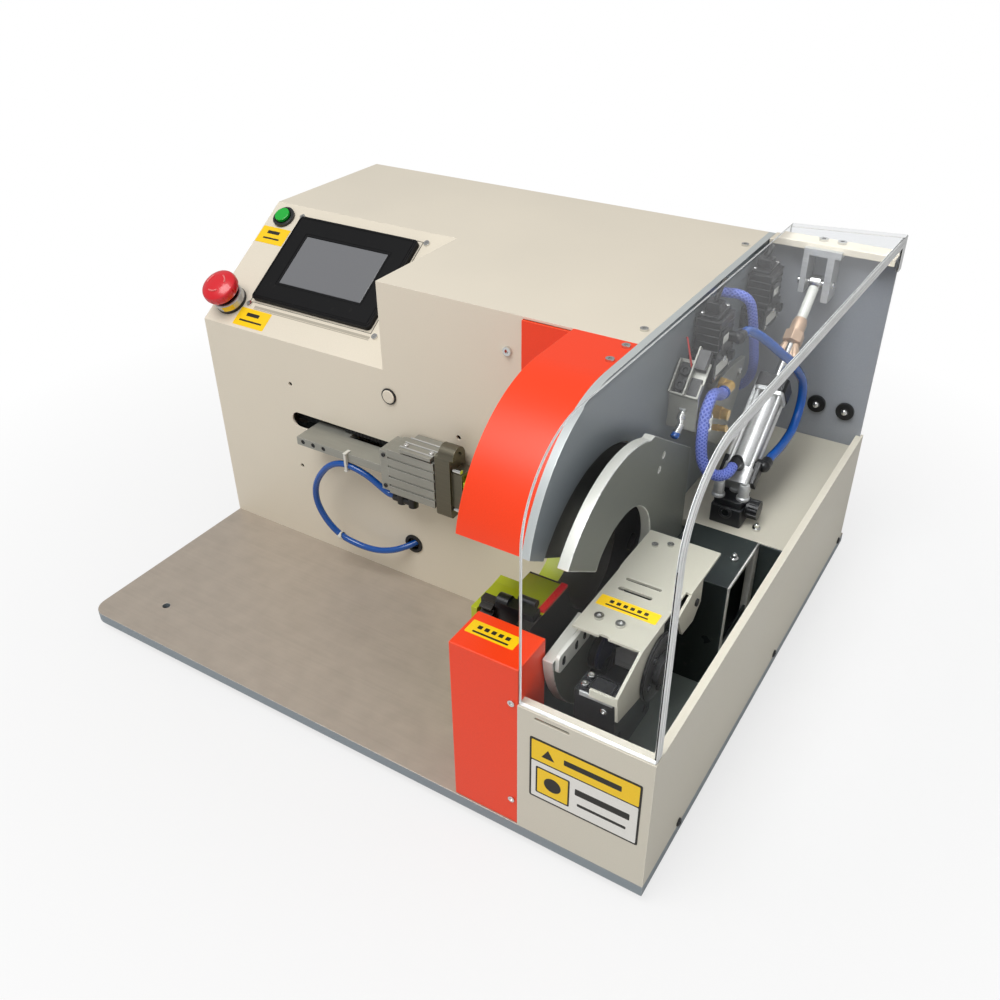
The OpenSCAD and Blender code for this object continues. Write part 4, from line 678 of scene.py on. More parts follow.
def make_finishes(colours):
    """Every finish of the machine, by its slot's name."""
    # The edge colours of paints and plastics are lighter tints of their own colour, a painted highlight
    # along the edges; on metals they stand for real wear
    own = {name: tuple(getattr(colours, name)) for name in MachineColours.__annotations__}
    # Cream paint and darker copies of it: painted shade on the tray walls, the rear deck and the feed
    # bracket
    cream_and_shaded_copies = {
        "cream_paint": (own["cream"], 0.40, 0.02, srgb(240, 234, 220)),
        "tray_shaded_cream": (srgb(212, 206, 190), 0.40, 0.02, srgb(240, 234, 220)),
        "deck_shaded_cream": (srgb(192, 187, 172), 0.42, 0.04, srgb(240, 234, 220)),
        "bracket_shaded_cream": (srgb(186, 183, 168), 0.42, 0.03, srgb(236, 232, 220)),
    }
    for name, (base, roughness, mottle, bare) in cream_and_shaded_copies.items():
        painted(name, base, roughness=roughness, mottle=mottle, bare=bare, wear=0.7, reach=0.001)
    for name, past in (("orange_paint", None), ("hood_paint", (HOOD_PAINT_END, srgb(232, 226, 210)))):
        painted(name, own["orange"], roughness=0.36, mottle=0.03, bare=srgb(255, 140, 96), past=past)
    # Past its end along x the head plate turns dark brown: painted shade under the hood
    painted("lime_paint", own["lime"], roughness=0.33, mottle=0.05, bare=srgb(214, 220, 90),
            past=(HEAD_SHADE_START, srgb(52, 48, 42)))
    painted("plate_grey", own["plate"], roughness=0.4, mottle=0.05, grain=1100.0, metallic=0.15,
            bare=srgb(206, 214, 216), reach=0.0012, wear=0.9, rim=srgb(190, 195, 194))
    painted("ring_grey", own["ring"], roughness=0.44, mottle=0.07, metallic=0.2, bare=srgb(236, 236, 230),
            reach=0.0016, wear=1.0, rim=srgb(204, 204, 196))
    # The rotor is dark, a painted shade of the gap beside the ring plate, and lime only on its side faces
    # within the band
    painted("rotor_shaded_paint", srgb(40, 37, 34), roughness=0.36, mottle=0.12, metallic=0.2,
            bare=srgb(120, 112, 100), wear=0.4, rim=own["lime"], band=ROTOR_BAND)
    painted("dark_steel", own["dark"], roughness=0.32, mottle=0.10, metallic=0.2, dust=0.2,
            mottle_scale=16.0, bare=srgb(130, 134, 132), wear=0.4)
    # Lighter copies of the plate grey and the dark steel: painted light on the back panel and the tray's
    # floor
    painted("back_panel_lit_grey", srgb(141, 144, 149), mottle=0.04, grain=1100.0, bare=srgb(206, 210, 212))
    painted("tray_floor_lit_grey", srgb(142, 152, 148), roughness=0.4, mottle=0.08, dust=0.15, mottle_scale=16.0)
    painted("bezel_black", srgb(9, 9, 11), roughness=0.5, mottle=0.06, bare=srgb(60, 60, 62),
            wear=0.3, shine=0.2)
    painted("black_plastic", srgb(19, 20, 22), roughness=0.34, mottle=0.08, grain=2600.0, depth=0.00003,
            dust=0.08, bare=srgb(70, 70, 72), wear=0.35)
    painted("black_metal", srgb(32, 33, 35), roughness=0.33, mottle=0.08, bare=srgb(100, 100, 100), wear=0.4)
    painted("rubber", srgb(26, 26, 27), roughness=0.62, mottle=0.1, grain=900.0, depth=0.00006, dust=0.2)
    painted("screen", srgb(112, 113, 116), roughness=0.2, mottle=0.015, dust=0.02, coat=0.4)
    painted("red_plastic", own["red"], roughness=0.3, mottle=0.04, coat=0.4,
            bare=srgb(240, 110, 110), wear=0.3)
    painted("green_plastic", own["green"], roughness=0.26, mottle=0.05, coat=0.3)
    painted("blue_tube", own["tube"], roughness=0.25, mottle=0.06, grain=500.0, coat=0.4)
    painted("pink_brass", srgb(206, 176, 150), roughness=0.32, mottle=0.06, metallic=0.5,
            bare=srgb(240, 220, 200))
    painted("faded_red", srgb(232, 120, 118), roughness=0.4, mottle=0.1, dust=0.2)
    painted("glossy_black", srgb(14, 15, 17), roughness=0.12, mottle=0.04, dust=0.03, coat=0.6)
    # Near-white finish of the guard's arrises: a painted highlight
    painted("arris_highlight", srgb(240, 241, 240), roughness=0.2, mottle=0.08, mottle_scale=70.0, coat=0.5)
    painted("cut_acrylic", srgb(226, 227, 226), roughness=0.18, mottle=0.08, dust=0.10,
            mottle_scale=60.0, coat=0.5)
    plain = {
        "yellow_label": (own["yellow"], 0.38, 0.03, 0.0),
        "label_ink": (srgb(28, 26, 20), 0.5, 0.05, 0.0),
        "label_white": (srgb(232, 230, 224), 0.38, 0.02, 0.0),
        "clear_white": (srgb(214, 214, 206), 0.3, 0.04, 0.2),
        "navy": (srgb(26, 32, 62), 0.35, 0.06, 0.0),
        "red_wire": (srgb(190, 30, 24), 0.35, 0.05, 0.2),
        "seam_shadow": (srgb(176, 168, 152), 0.6, 0.05, 0.0),
    }
    for name, (base, roughness, mottle, coat) in plain.items():
        painted(name, base, roughness=roughness, mottle=mottle, coat=coat)
    metal("worn_aluminium", srgb(158, 158, 150), roughness=0.4, contrast=0.06, blotch=0.08, metallic=0.5,
          bare=srgb(224, 224, 218))
    metal("plate_steel", own["steel"], roughness=0.42, stretch=(14, 420, 420), contrast=0.03, blotch=0.05,
          blotch_scale=55.0, metallic=0.35, bare=srgb(214, 212, 208), reach=0.001, rim=srgb(142, 151, 157))
    metal("machined_aluminium", srgb(204, 205, 204), roughness=0.36, contrast=0.07, blotch=0.05,
          metallic=0.55, bare=srgb(236, 236, 234))
    metal("olive_plate", srgb(104, 100, 86), roughness=0.38, metallic=0.7, bare=srgb(190, 186, 170))
    metal("bright_steel", srgb(218, 218, 216), roughness=0.16, contrast=0.04, blotch=0.03)
    metal("brass", srgb(222, 182, 104), stretch=(90, 90, 90), contrast=0.03, blotch=0.04, metallic=0.6)
    metal("cut_metal", srgb(226, 226, 222), roughness=0.28, contrast=0.05, blotch=0.1, metallic=0.6)
    braid("braided_sleeve", own["sleeve"], srgb(122, 136, 214))
    clear_acrylic("clear_guard", srgb(250, 251, 252), 0.005)


# Pieces


class MACHINE_OT_studio(bpy.types.Operator):
    """Camera, lamps, world and pale floor."""

    bl_idname = "machine.studio"
    bl_label = "Studio"

    # Name, place and size of each lamp, and the point that both look at
    KEY = ("key_lamp", (-0.15, -1.0, 2.15), 1.5)
    FILL = ("fill_lamp", (1.5, -0.5, 1.1), 1.2)
    AIM = Vector((0, 0, 0.1))
    SENSOR, CLIP = 36, 0.02
    FLOOR_GREY = 0.7
    # How pale the floor is under the machine, and the distances between which it turns white
    PALE, PALE_TO, WHITE_FROM = 0.72, 0.30, 0.75

    def execute(self, context):
        scene = context.scene
        settings = scene.machine_studio
        scene.view_settings.view_transform = "Standard"
        self.add_camera(scene, settings)
        self.add_lamp(scene, *self.KEY, settings.key)
        self.add_lamp(scene, *self.FILL, settings.fill)
        self.add_world(scene, settings)
        self.add_floor(scene, settings)
        return {"FINISHED"}

    def add_camera(self, scene, settings):
        data = bpy.data.cameras.new("view")
        data.lens = settings.lens
        data.sensor_width = self.SENSOR
        data.clip_start = self.CLIP
        camera = bpy.data.objects.new("view", data)
        up = (-CAMERA_FORWARD).cross(CAMERA_RIGHT)
        axes = Matrix((CAMERA_RIGHT, up, -CAMERA_FORWARD)).transposed().to_4x4()
        camera.matrix_world = Matrix.Translation(CAMERA_PLACE) @ axes
        scene.collection.objects.link(camera)
        scene.camera = camera

    def add_lamp(self, scene, name, place, size, power):
        data = bpy.data.lights.new(name, "AREA")
        data.shape = "DISK"
        data.size = size
        data.energy = power
        lamp = bpy.data.objects.new(name, data)
        lamp.location = place
        lamp.rotation_euler = (self.AIM - Vector(place)).to_track_quat("-Z", "Y").to_euler()
        scene.collection.objects.link(lamp)

    def add_world(self, scene, settings):
        world = bpy.data.worlds.new("studio")
        world.use_nodes = True
        world.node_tree.nodes.clear()
        tree = Tree(world.node_tree)
        level = tree.remap(self.seen_share(tree), 0.0, 1.0, settings.sky, 1.0)
        back = tree.add("ShaderNodeBackground", {"Color": (1, 1, 1, 1), "Strength": level})
        tree.add("ShaderNodeOutputWorld", {"Surface": back.outputs[0]})
        scene.world = world

    def seen_share(self, tree):
        """1 for rays that show the surroundings themselves, directly or through the guard."""
        path = tree.add("ShaderNodeLightPath")
        return tree.math("MAXIMUM", path.outputs["Is Camera Ray"], path.outputs["Is Transmission Ray"])

    def add_floor(self, scene, settings):
        """Pale floor that keeps the shadow and turns to the white background farther out."""
        bm = bmesh.new()
        bmesh.ops.create_grid(bm, x_segments=8, y_segments=8, size=settings.floor_size / 2)
        mesh = bpy.data.meshes.new("floor")
        bm.to_mesh(mesh)
        bm.free()
        floor = bpy.data.objects.new("floor", mesh)
        scene.collection.objects.link(floor)
        material, tree, shader = start_material("pale_floor")
        shader.inputs["Base Color"].default_value = (self.FLOOR_GREY,) * 3 + (1,)
        shader.inputs["Roughness"].default_value = 0.9
        place = tree.add("ShaderNodeTexCoord").outputs["Object"]
        away = tree.add("ShaderNodeVectorMath", {0: place}, operation="LENGTH").outputs["Value"]
        paling = tree.remap(away, self.PALE_TO, self.WHITE_FROM, self.PALE, 1.0)
        share = tree.math("MULTIPLY", paling, self.seen_share(tree))
        white = tree.add("ShaderNodeEmission", {"Color": (1, 1, 1, 1), "Strength": 1.0})
        both = tree.add("ShaderNodeMixShader", {0: share, 1: shader.outputs[0], 2: white.outputs[0]})
        tree.show(both)
        mesh.materials.append(material)


class MACHINE_OT_finishes(bpy.types.Operator):
    """Finish and broken edges of every solid of the frame."""

    bl_idname = "machine.finishes"
    bl_label = "Finishes"

    # Finishes of nodes that look different from the rest of their slot
    OWN_FINISH = {
        "hood": "hood_paint",
        # The rotor's dark finish is painted shade of the gap beside the ring plate
        "rotor": "rotor_shaded_paint",
        # Lighter copies of their greys: painted light on the back panel and the tray's floor
        "back_panel": "back_panel_lit_grey",
        "tray_floor": "tray_floor_lit_grey",
        # Darker copies of the cream paint: painted shade on the tray walls, rear deck and feed bracket
        "tray_walls": "tray_shaded_cream",
        "rear_deck": "deck_shaded_cream",
        "feed_bracket": "bracket_shaded_cream",
        "display_bezel": "bezel_black",
        "slotted_strip": "clear_white",
        "gripper_body": "worn_aluminium",
        "carriage_plate": "worn_aluminium",
        "valve_plate": "worn_aluminium",
    }
    BENT_SHEET = {
        "cabinet_shell", "rear_cover", "tray_walls", "rear_deck", "feed_bracket", "hood", "lower_cover",
    }
    CHAMFERED = {"ring_plate", "side_plate"}
    REPLACED = {"front_hose", "feed_hoses", "valve_hose", "guard"}

    def execute(self, context):
        make_grain_group()
        make_brush_group()
        make_wear_group()
        make_finishes(context.scene.machine_colours)
        sizes = context.scene.machine_sizes
        for row in frame["record"]["subparts"]:
            name = row["node"]
            node = frame["nodes"][name]
            node.data.materials.clear()
            node.data.materials.append(bpy.data.materials[self.OWN_FINISH.get(name, row["material_slot"])])
            if name in self.CHAMFERED:
                node.data.materials.append(bpy.data.materials["cut_metal"])
                break_edges(node, sizes.chamfer, weld=True, segments=1, finish=1)
            elif name not in self.REPLACED:
                break_edges(node, sizes.soft_edge if name in self.BENT_SHEET else sizes.fine_edge, weld=True)
        return {"FINISHED"}


class MACHINE_OT_hoses(bpy.types.Operator):
    """Air hoses and braided sleeves."""

    bl_idname = "machine.hoses"
    bl_label = "Hoses"

    def execute(self, context):
        sizes = context.scene.machine_sizes
        clamp = hose("clamp_hose", "blue_tube", FRONT_HOSE, sizes.front_hose, body=None,
                     replaces=["front_hose"])
        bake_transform(clamp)
        braided = hose("feed_hose_braided", "braided_sleeve", FEED_HOSE_A, sizes.feed_hose, sides=24,
                       body=None, replaces=["feed_hoses"])
        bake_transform(braided)
        plain = hose("feed_hose_plain", "blue_tube", FEED_HOSE_B, sizes.plain_hose, body=None,
                     replaces=["feed_hoses"])
        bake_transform(plain)
        hose("valve_sleeve", "braided_sleeve", VALVE_HOSE, sizes.plain_hose, sides=24,
             replaces=["valve_hose"])
        return {"FINISHED"}


class MACHINE_OT_guard(bpy.types.Operator):
    """Bent clear guard with whitish cut edges and a painted highlight along its arrises."""

    bl_idname = "machine.guard"
    bl_label = "Clear guard"

    LEFT, RIGHT = 461.3, 559.5
    FRONT, BACK = 1, 472.3
    LOW, LIP_LOW = 120, 282
    THICK = 4
    EDGE_WIDE, EDGE_DEEP = 3, 9
    # Height at which each side's bend starts, its radius, and the height of that side's back corner
    LEFT_BEND = (242, 68, 306)
    RIGHT_BEND = (267, 61, 312.2)
    BEND_STEPS, TOP_STEPS, CUTS_ACROSS = 24, 12, 7

    def execute(self, context):
        bm = bmesh.new()
        left, left_in = (self.side_path(inset, *self.LEFT_BEND) for inset in (0, self.THICK))
        right, right_in, deep = (
            self.side_path(inset, *self.RIGHT_BEND) for inset in (0, self.THICK, self.EDGE_DEEP)
        )
        self.sheet(bm, right + right_in[::-1], self.RIGHT, left + left_in[::-1], self.LEFT)
        # Strips across keep the sheet smooth where its two sides are bent differently
        across = [edge for edge in bm.edges if abs(edge.verts[0].co.x - edge.verts[1].co.x) > 0.01]
        bmesh.ops.subdivide_edges(bm, edges=across, cuts=self.CUTS_ACROSS, use_grid_fill=True)
        strip = right_in + deep[::-1]
        self.sheet(bm, strip, self.RIGHT, strip, self.RIGHT - self.EDGE_WIDE)
        bmesh.ops.recalc_face_normals(bm, faces=bm.faces)
        lip_end = at(0, 0, self.LIP_LOW + 1).z
        for item in bm.faces:
            end = item.normal.z < -0.9 and item.calc_center_median().z < lip_end
            item.material_index = 1 if end or abs(item.normal.x) > 0.9 else 0
        # The guard's chamfered arrises get a near-white opaque finish: a painted highlight
        finishes = ["clear_guard", "cut_acrylic", "arris_highlight"]
        guard = new_piece("guard_panes", bm, finishes, replaces=["guard"])
        break_edges(guard, 0.0006, segments=1, finish=2, even=False)
        return {"FINISHED"}

    def sheet(self, bm, near, near_x, far, far_x):
        """Adds the solid between a closed outline (y, z) at one x and its partner at another."""
        verts = [bm.verts.new(at(near_x, y, z)) for y, z in near]
        face = bm.faces.new(verts)
        partners = {tuple(vert.co): at(far_x, y, z) for vert, (y, z) in zip(verts, far)}
        for vert in raised_verts(bm, [face]):
            vert.co = partners[tuple(vert.co)]

    def side_path(self, inset, start, size, end_z):
        """Points (y, z) of one side of the sheet, from the front's lower end to the back lip's."""
        radius = size - inset
        middle = self.FRONT + size
        end = self.BACK - inset
        fall = math.atan2(start + size - end_z, self.BACK - middle)
        points = [(self.FRONT + inset, self.LOW)]
        for step in range(self.BEND_STEPS + 1):
            angle = math.pi - (math.pi / 2 + fall) * step / self.BEND_STEPS
            points.append((middle + radius * math.cos(angle), start + radius * math.sin(angle)))
        y, z = points[-1]
        for step in range(1, self.TOP_STEPS + 1):
            ahead = (end - y) * step / self.TOP_STEPS
            points.append((y + ahead, z - ahead * math.tan(fall)))
        return points + [(end, self.LIP_LOW)]


class MACHINE_OT_panel(bpy.types.Operator):
    """Labels, display frame and button collars on the sloped panel."""

    bl_idname = "machine.panel"
    bl_label = "Control panel"

    # Middles on the panel, across and up the slope, and the heights of bezel and stop head
    ESTOP, RESET, DISPLAY = (19, 25), (19, 125), (110, 80)
    BEZEL_HIGH, HEAD_HIGH = 6, 29.8

    def execute(self, context):
        with piece("panel_labels", ["yellow_label", "label_ink"]) as bm:
            for x, y, width, underline in ((18, 103, 34, 20), (52.5, 12.6, 37, 27)):
                marks = [(-1, 3.4, 15, 3.6), (0, -3.6, underline, 1.8)]
                plate_label(bm, shifted(x, y, 0, PANEL), width, 19, marks)
        with piece("display_frame", "glossy_black", edge=0.0001) as bm:
            for width, height, border, thick in ((132, 91, 1.0, 0.35), (100, 59, 1.6, 0.25)):
                frame_plate(bm, width, height, border, thick, shifted(*self.DISPLAY, self.BEZEL_HIGH, PANEL))
        with piece("display_gasket", "rubber", edge=0.0001) as bm:
            frame_plate(bm, 142, 101, 1.6, 0.8, shifted(*self.DISPLAY, 0, PANEL))
        with piece("panel_fold", "seam_shadow") as bm:
            for y, wide, thick in ((23, 0.8, 0.15), (25.2, 2.6, 0.12)):
                prism(bm, round_outline(135, wide, 0.3, 1), thick, shifted(114.5, y, 0, PANEL))
        self.add_collar()
        with piece("reset_ring", "black_metal") as bm:
            ring = [(9.2, 2.4), (11.2, 2.4), (11.2, 3.1), (10.4, 3.7), (9.2, 3.7), (9.2, 2.4)]
            turned(bm, ring, shifted(*self.RESET, 0, PANEL), sides=48)
        self.add_arrows()
        return {"FINISHED"}

    def add_collar(self):
        """Silver sleeve of the emergency stop with its yellow patch."""
        with piece("estop_collar", ["machined_aluminium", "yellow_label"], edge=0.0002) as bm:
            profile = [(12.7, 3.1), (14.6, 3.1), (14.6, 9.4), (13.8, 10.4), (12.7, 10.4), (12.7, 3.1)]
            tinted(bm, 0, turned, profile, shifted(*self.ESTOP, 0, PANEL), sides=64)
            for i in range(5):
                out = shifted(14.5, 0, 0, shifted(*self.ESTOP, 6.6, PANEL) @ spun(-74 + 9 * i))
                tinted(bm, 1, prism, round_outline(2.6, 6.0, 0.3, 1), 0.35, out @ TURNS["x"] @ spun(90))

    def add_arrows(self):
        """Three curved arrows on the emergency stop's head."""
        with piece("estop_arrows", "faded_red", body="estop_head") as bm:
            for start in (20, 140, 260):
                for k in range(6):
                    place = shifted(*self.ESTOP, self.HEAD_HIGH, PANEL) @ spun(start + 9 * k)
                    prism(bm, round_outline(1.3, 1.9, 0.2, 1), 0.9, shifted(9.2, 0, -1.35, place))


class MACHINE_OT_labels(bpy.types.Operator):
    """Plain plates on the front wall, the feed bracket and the lower cover."""

    bl_idname = "machine.labels"
    bl_label = "Labels"

    YELLOW, INK, WHITE = range(3)
    # Finish, width, height, corner radius, steps of a corner, thickness, and the middle's place
    FRONT_LAYERS = (
        (INK, 82, 58, 1.5, 3, 0.2, (0, 0, 0)),
        (WHITE, 79, 35, 0.8, 2, 0.08, (0, -10, 0.2)),
        (YELLOW, 79, 18.5, 0.8, 2, 0.08, (0, 18, 0.2)),
        (INK, 42, 5, 0.6, 2, 0.06, (6, 18, 0.28)),
        (INK, 26, 26, 1, 2, 0.06, (-23, -10, 0.28)),
        (YELLOW, 23.4, 23.4, 0.8, 2, 0.06, (-23, -10, 0.34)),
        (INK, 13, 13, 6.4, 8, 0.05, (-23, -10, 0.4)),
        (INK, 40, 6, 0.6, 2, 0.06, (14, -5, 0.28)),
        (INK, 36, 2.6, 0.6, 2, 0.06, (14, -17, 0.28)),
    )

    def execute(self, context):
        front = shifted(512, -0.05, 69) @ TURNS["-y"]
        with piece("front_label", ["yellow_label", "label_ink", "label_white"]) as bm:
            for finish, width, height, radius, steps, thick, place in self.FRONT_LAYERS:
                outline = round_outline(width, height, radius, steps)
                tinted(bm, finish, prism, outline, thick, shifted(*place, front))
            angles = (math.pi / 2, 3.665, 5.76)
            triangle = [(5.6 * math.cos(angle), 5.6 * math.sin(angle)) for angle in angles]
            tinted(bm, self.INK, prism, triangle, 0.06, shifted(-27, 16.6, 0.28, front))
        with piece("small_labels", ["yellow_label", "label_ink"]) as bm:
            marks = [(-13 + 5.2 * i, 1.2, 3, 3.2) for i in range(6)] + [(0, -3, 32, 1.4)]
            plate_label(bm, shifted(495.6, 91, 152), 45, 11.5, marks)
            marks = [(-11 + 5.5 * i, 1.4, 3.4, 3.4) for i in range(5)] + [(0, -3.8, 28, 1.6)]
            plate_label(bm, shifted(429, 22, 150), 38, 13, marks)
        return {"FINISHED"}


class MACHINE_OT_sheet_details(bpy.types.Operator):
    """Flange cover, window edges, seams and screws of the sheet metal."""

    bl_idname = "machine.sheet_details"
    bl_label = "Sheet metal details"

    CAP = [(0, 0), (3.4, 0), (3.4, 0.8), (2.4, 1.7), (1.5, 1.7), (1.5, 0.5), (0, 0.5)]
    PIN = [(0, 0), (3.3, 0), (3.3, 1.5), (2.9, 3.0), (1.8, 4.1), (0, 4.5)]
    PLUG = [(0, 0), (6.2, 0), (6.2, 0.3), (5.6, 0.8), (0, 1.0)]

    def execute(self, context):
        self.add_flange_cover()
        self.add_window_edges()
        shell = node_box("cabinet_shell")[1]
        wall = node_box("tray_walls")[1]
        strip = node_box("slotted_strip")
        with piece("wall_screws", "black_metal") as bm:
            for y in (60, 266, 459):
                turned(bm, self.CAP, shifted(wall.x, y, 3.6) @ TURNS["x"], sides=28)
        # Dark patches over the slotted strip's holes: painted shade in the slots
        with piece("strip_slot_shades", "rubber") as bm:
            for y in (42, 60, 72):
                place = shifted(strip[1].x - 0.2, y, (strip[0].z + strip[1].z) / 2) @ TURNS["x"]
                prism(bm, round_outline(7.6, 3.6, 1.8, 5), 0.4, place)
        with piece("rear_screws", "bright_steel") as bm:
            for x in (14, 430):
                for z in (14, 150, 282):
                    socket_screw(bm, shifted(x, shell.y, z) @ TURNS["y"], 3.2, 1.8)
        with piece("inlet_pins", "brass", edge=0.0003) as bm:
            for x, z in ((54, 43), (60, 48), (66, 43)):
                prism(bm, round_outline(1.8, 5, 0.4, 2), 12, shifted(x, 453, z) @ TURNS["y"])
        with piece("slot_seal", "rubber", edge=0.0002) as bm:
            block(bm, (159, 211), (195.4, 198.4), (140.6, 145.2))
            for x in range(163, 210, 4):
                block(bm, (x, x + 1.6), (194.8, 195.5), (141.2, 144.8))
        with piece("plug_cap", "cream_paint") as bm:
            turned(bm, self.PLUG, shifted(216, 192.6, 193) @ TURNS["-y"], sides=40)
        with piece("bulkhead_pins", "bright_steel") as bm:
            for x, z in ((513, 143), (540, 142)):
                turned(bm, self.PIN, shifted(x, 464, z) @ TURNS["-y"], sides=28)
        return {"FINISHED"}

    def add_flange_cover(self):
        """Folded cover over the back panel's top flange."""
        low, high = node_box("back_panel")
        wide = (low.x + 0.8, high.x - 0.2)
        with piece("flange_cover", "cream_paint", edge=0.0004) as bm:
            block(bm, wide, (low.y - 0.1, high.y), (high.z, high.z + 1))
            block(bm, wide, (low.y - 1, low.y), (high.z - 5, high.z + 1))

    def add_window_edges(self):
        """Bright rim of the feed box's window, and the dark screen between the box and the wall."""
        low, high = node_box("feed_box")
        deck = node_box("rear_deck")[1]
        rim, sill, top = (high.x - 0.1, high.x + 1.2), 40, high.z - 0.2
        front, back = low.y + 3.6, high.y + 0.2
        with piece("window_edges", "label_white", edge=0.0003) as bm:
            block(bm, rim, (low.y + 0.2, front), (sill, top))
            block(bm, rim, (front, back), (top - 3.2, top))
            block(bm, (high.x - 4.6, rim[1]), (back - 9.5, back), (sill, top))
        with piece("deck_screen", "dark_steel", edge=0.0003) as bm:
            face = high.y - 1.4
            block(bm, (high.x + 1.4, deck.x - 0.2), (face, high.y), (low.z + 0.1, high.z - 0.6))
            for x, z in ((537, 60), (552, 60), (552, 98)):
                socket_screw(bm, shifted(x, face, z) @ TURNS["-y"], 2.2, 1.2)


class MACHINE_OT_clamp_details(bpy.types.Operator):
    """Screws, ties and rods of the clamp carriage."""

    bl_idname = "machine.clamp_details"
    bl_label = "Clamp details"

    ARM_SCREW = [(0, 0), (2.9, 0), (2.9, 1.0), (1.6, 1.0), (1.4, 0.3), (0, 0.3)]

    def execute(self, context):
        with piece("arm_screws", "black_metal", body="carriage") as bm:
            for x in (133, 145, 157):
                turned(bm, self.ARM_SCREW, shifted(x, 168.4, 135.5) @ TURNS["-y"], sides=24)
            for z in (122, 153):
                socket_screw(bm, shifted(228, 165, z) @ TURNS["-y"], 2.0, 1.0)
        with piece("hose_tie", "clear_white", body="carriage", edge=0.0004) as bm:
            block(bm, (182.4, 185.0), (164.2, 167.2), (122.5, 139.8))
            block(bm, (182.0, 185.4), (164.0, 172.0), (139.5, 140.6))
            block(bm, (182.0, 185.4), (163.8, 173.0), (121.6, 122.8))
        with piece("cylinder_top", "machined_aluminium", body="carriage", edge=0.0002) as bm:
            for y in (168, 176, 184):
                block(bm, (244, 278), (y, y + 1.2), (164.4, 165.2))
            for x in (248, 274):
                socket_screw(bm, shifted(x, 172.2, 164.5), 2.2, 1.3)
        with piece("end_plate_screws", "bright_steel", body="gripper") as bm:
            for z in (162, 113, 137.5):
                socket_screw(bm, shifted(281.2, 178, z) @ TURNS["-x"], 2.6, 1.0)
            for z in (118, 157):
                rod(bm, (297, 170.5, z), "x", 8, 2.2, sides=24)
        with piece("hose_ferrule", "clear_white") as bm:
            sleeve(bm, shifted(162.3, 172.2, 38.8) @ spun(72, "Y"), 3.1, 3.9, -2, 2)
        return {"FINISHED"}


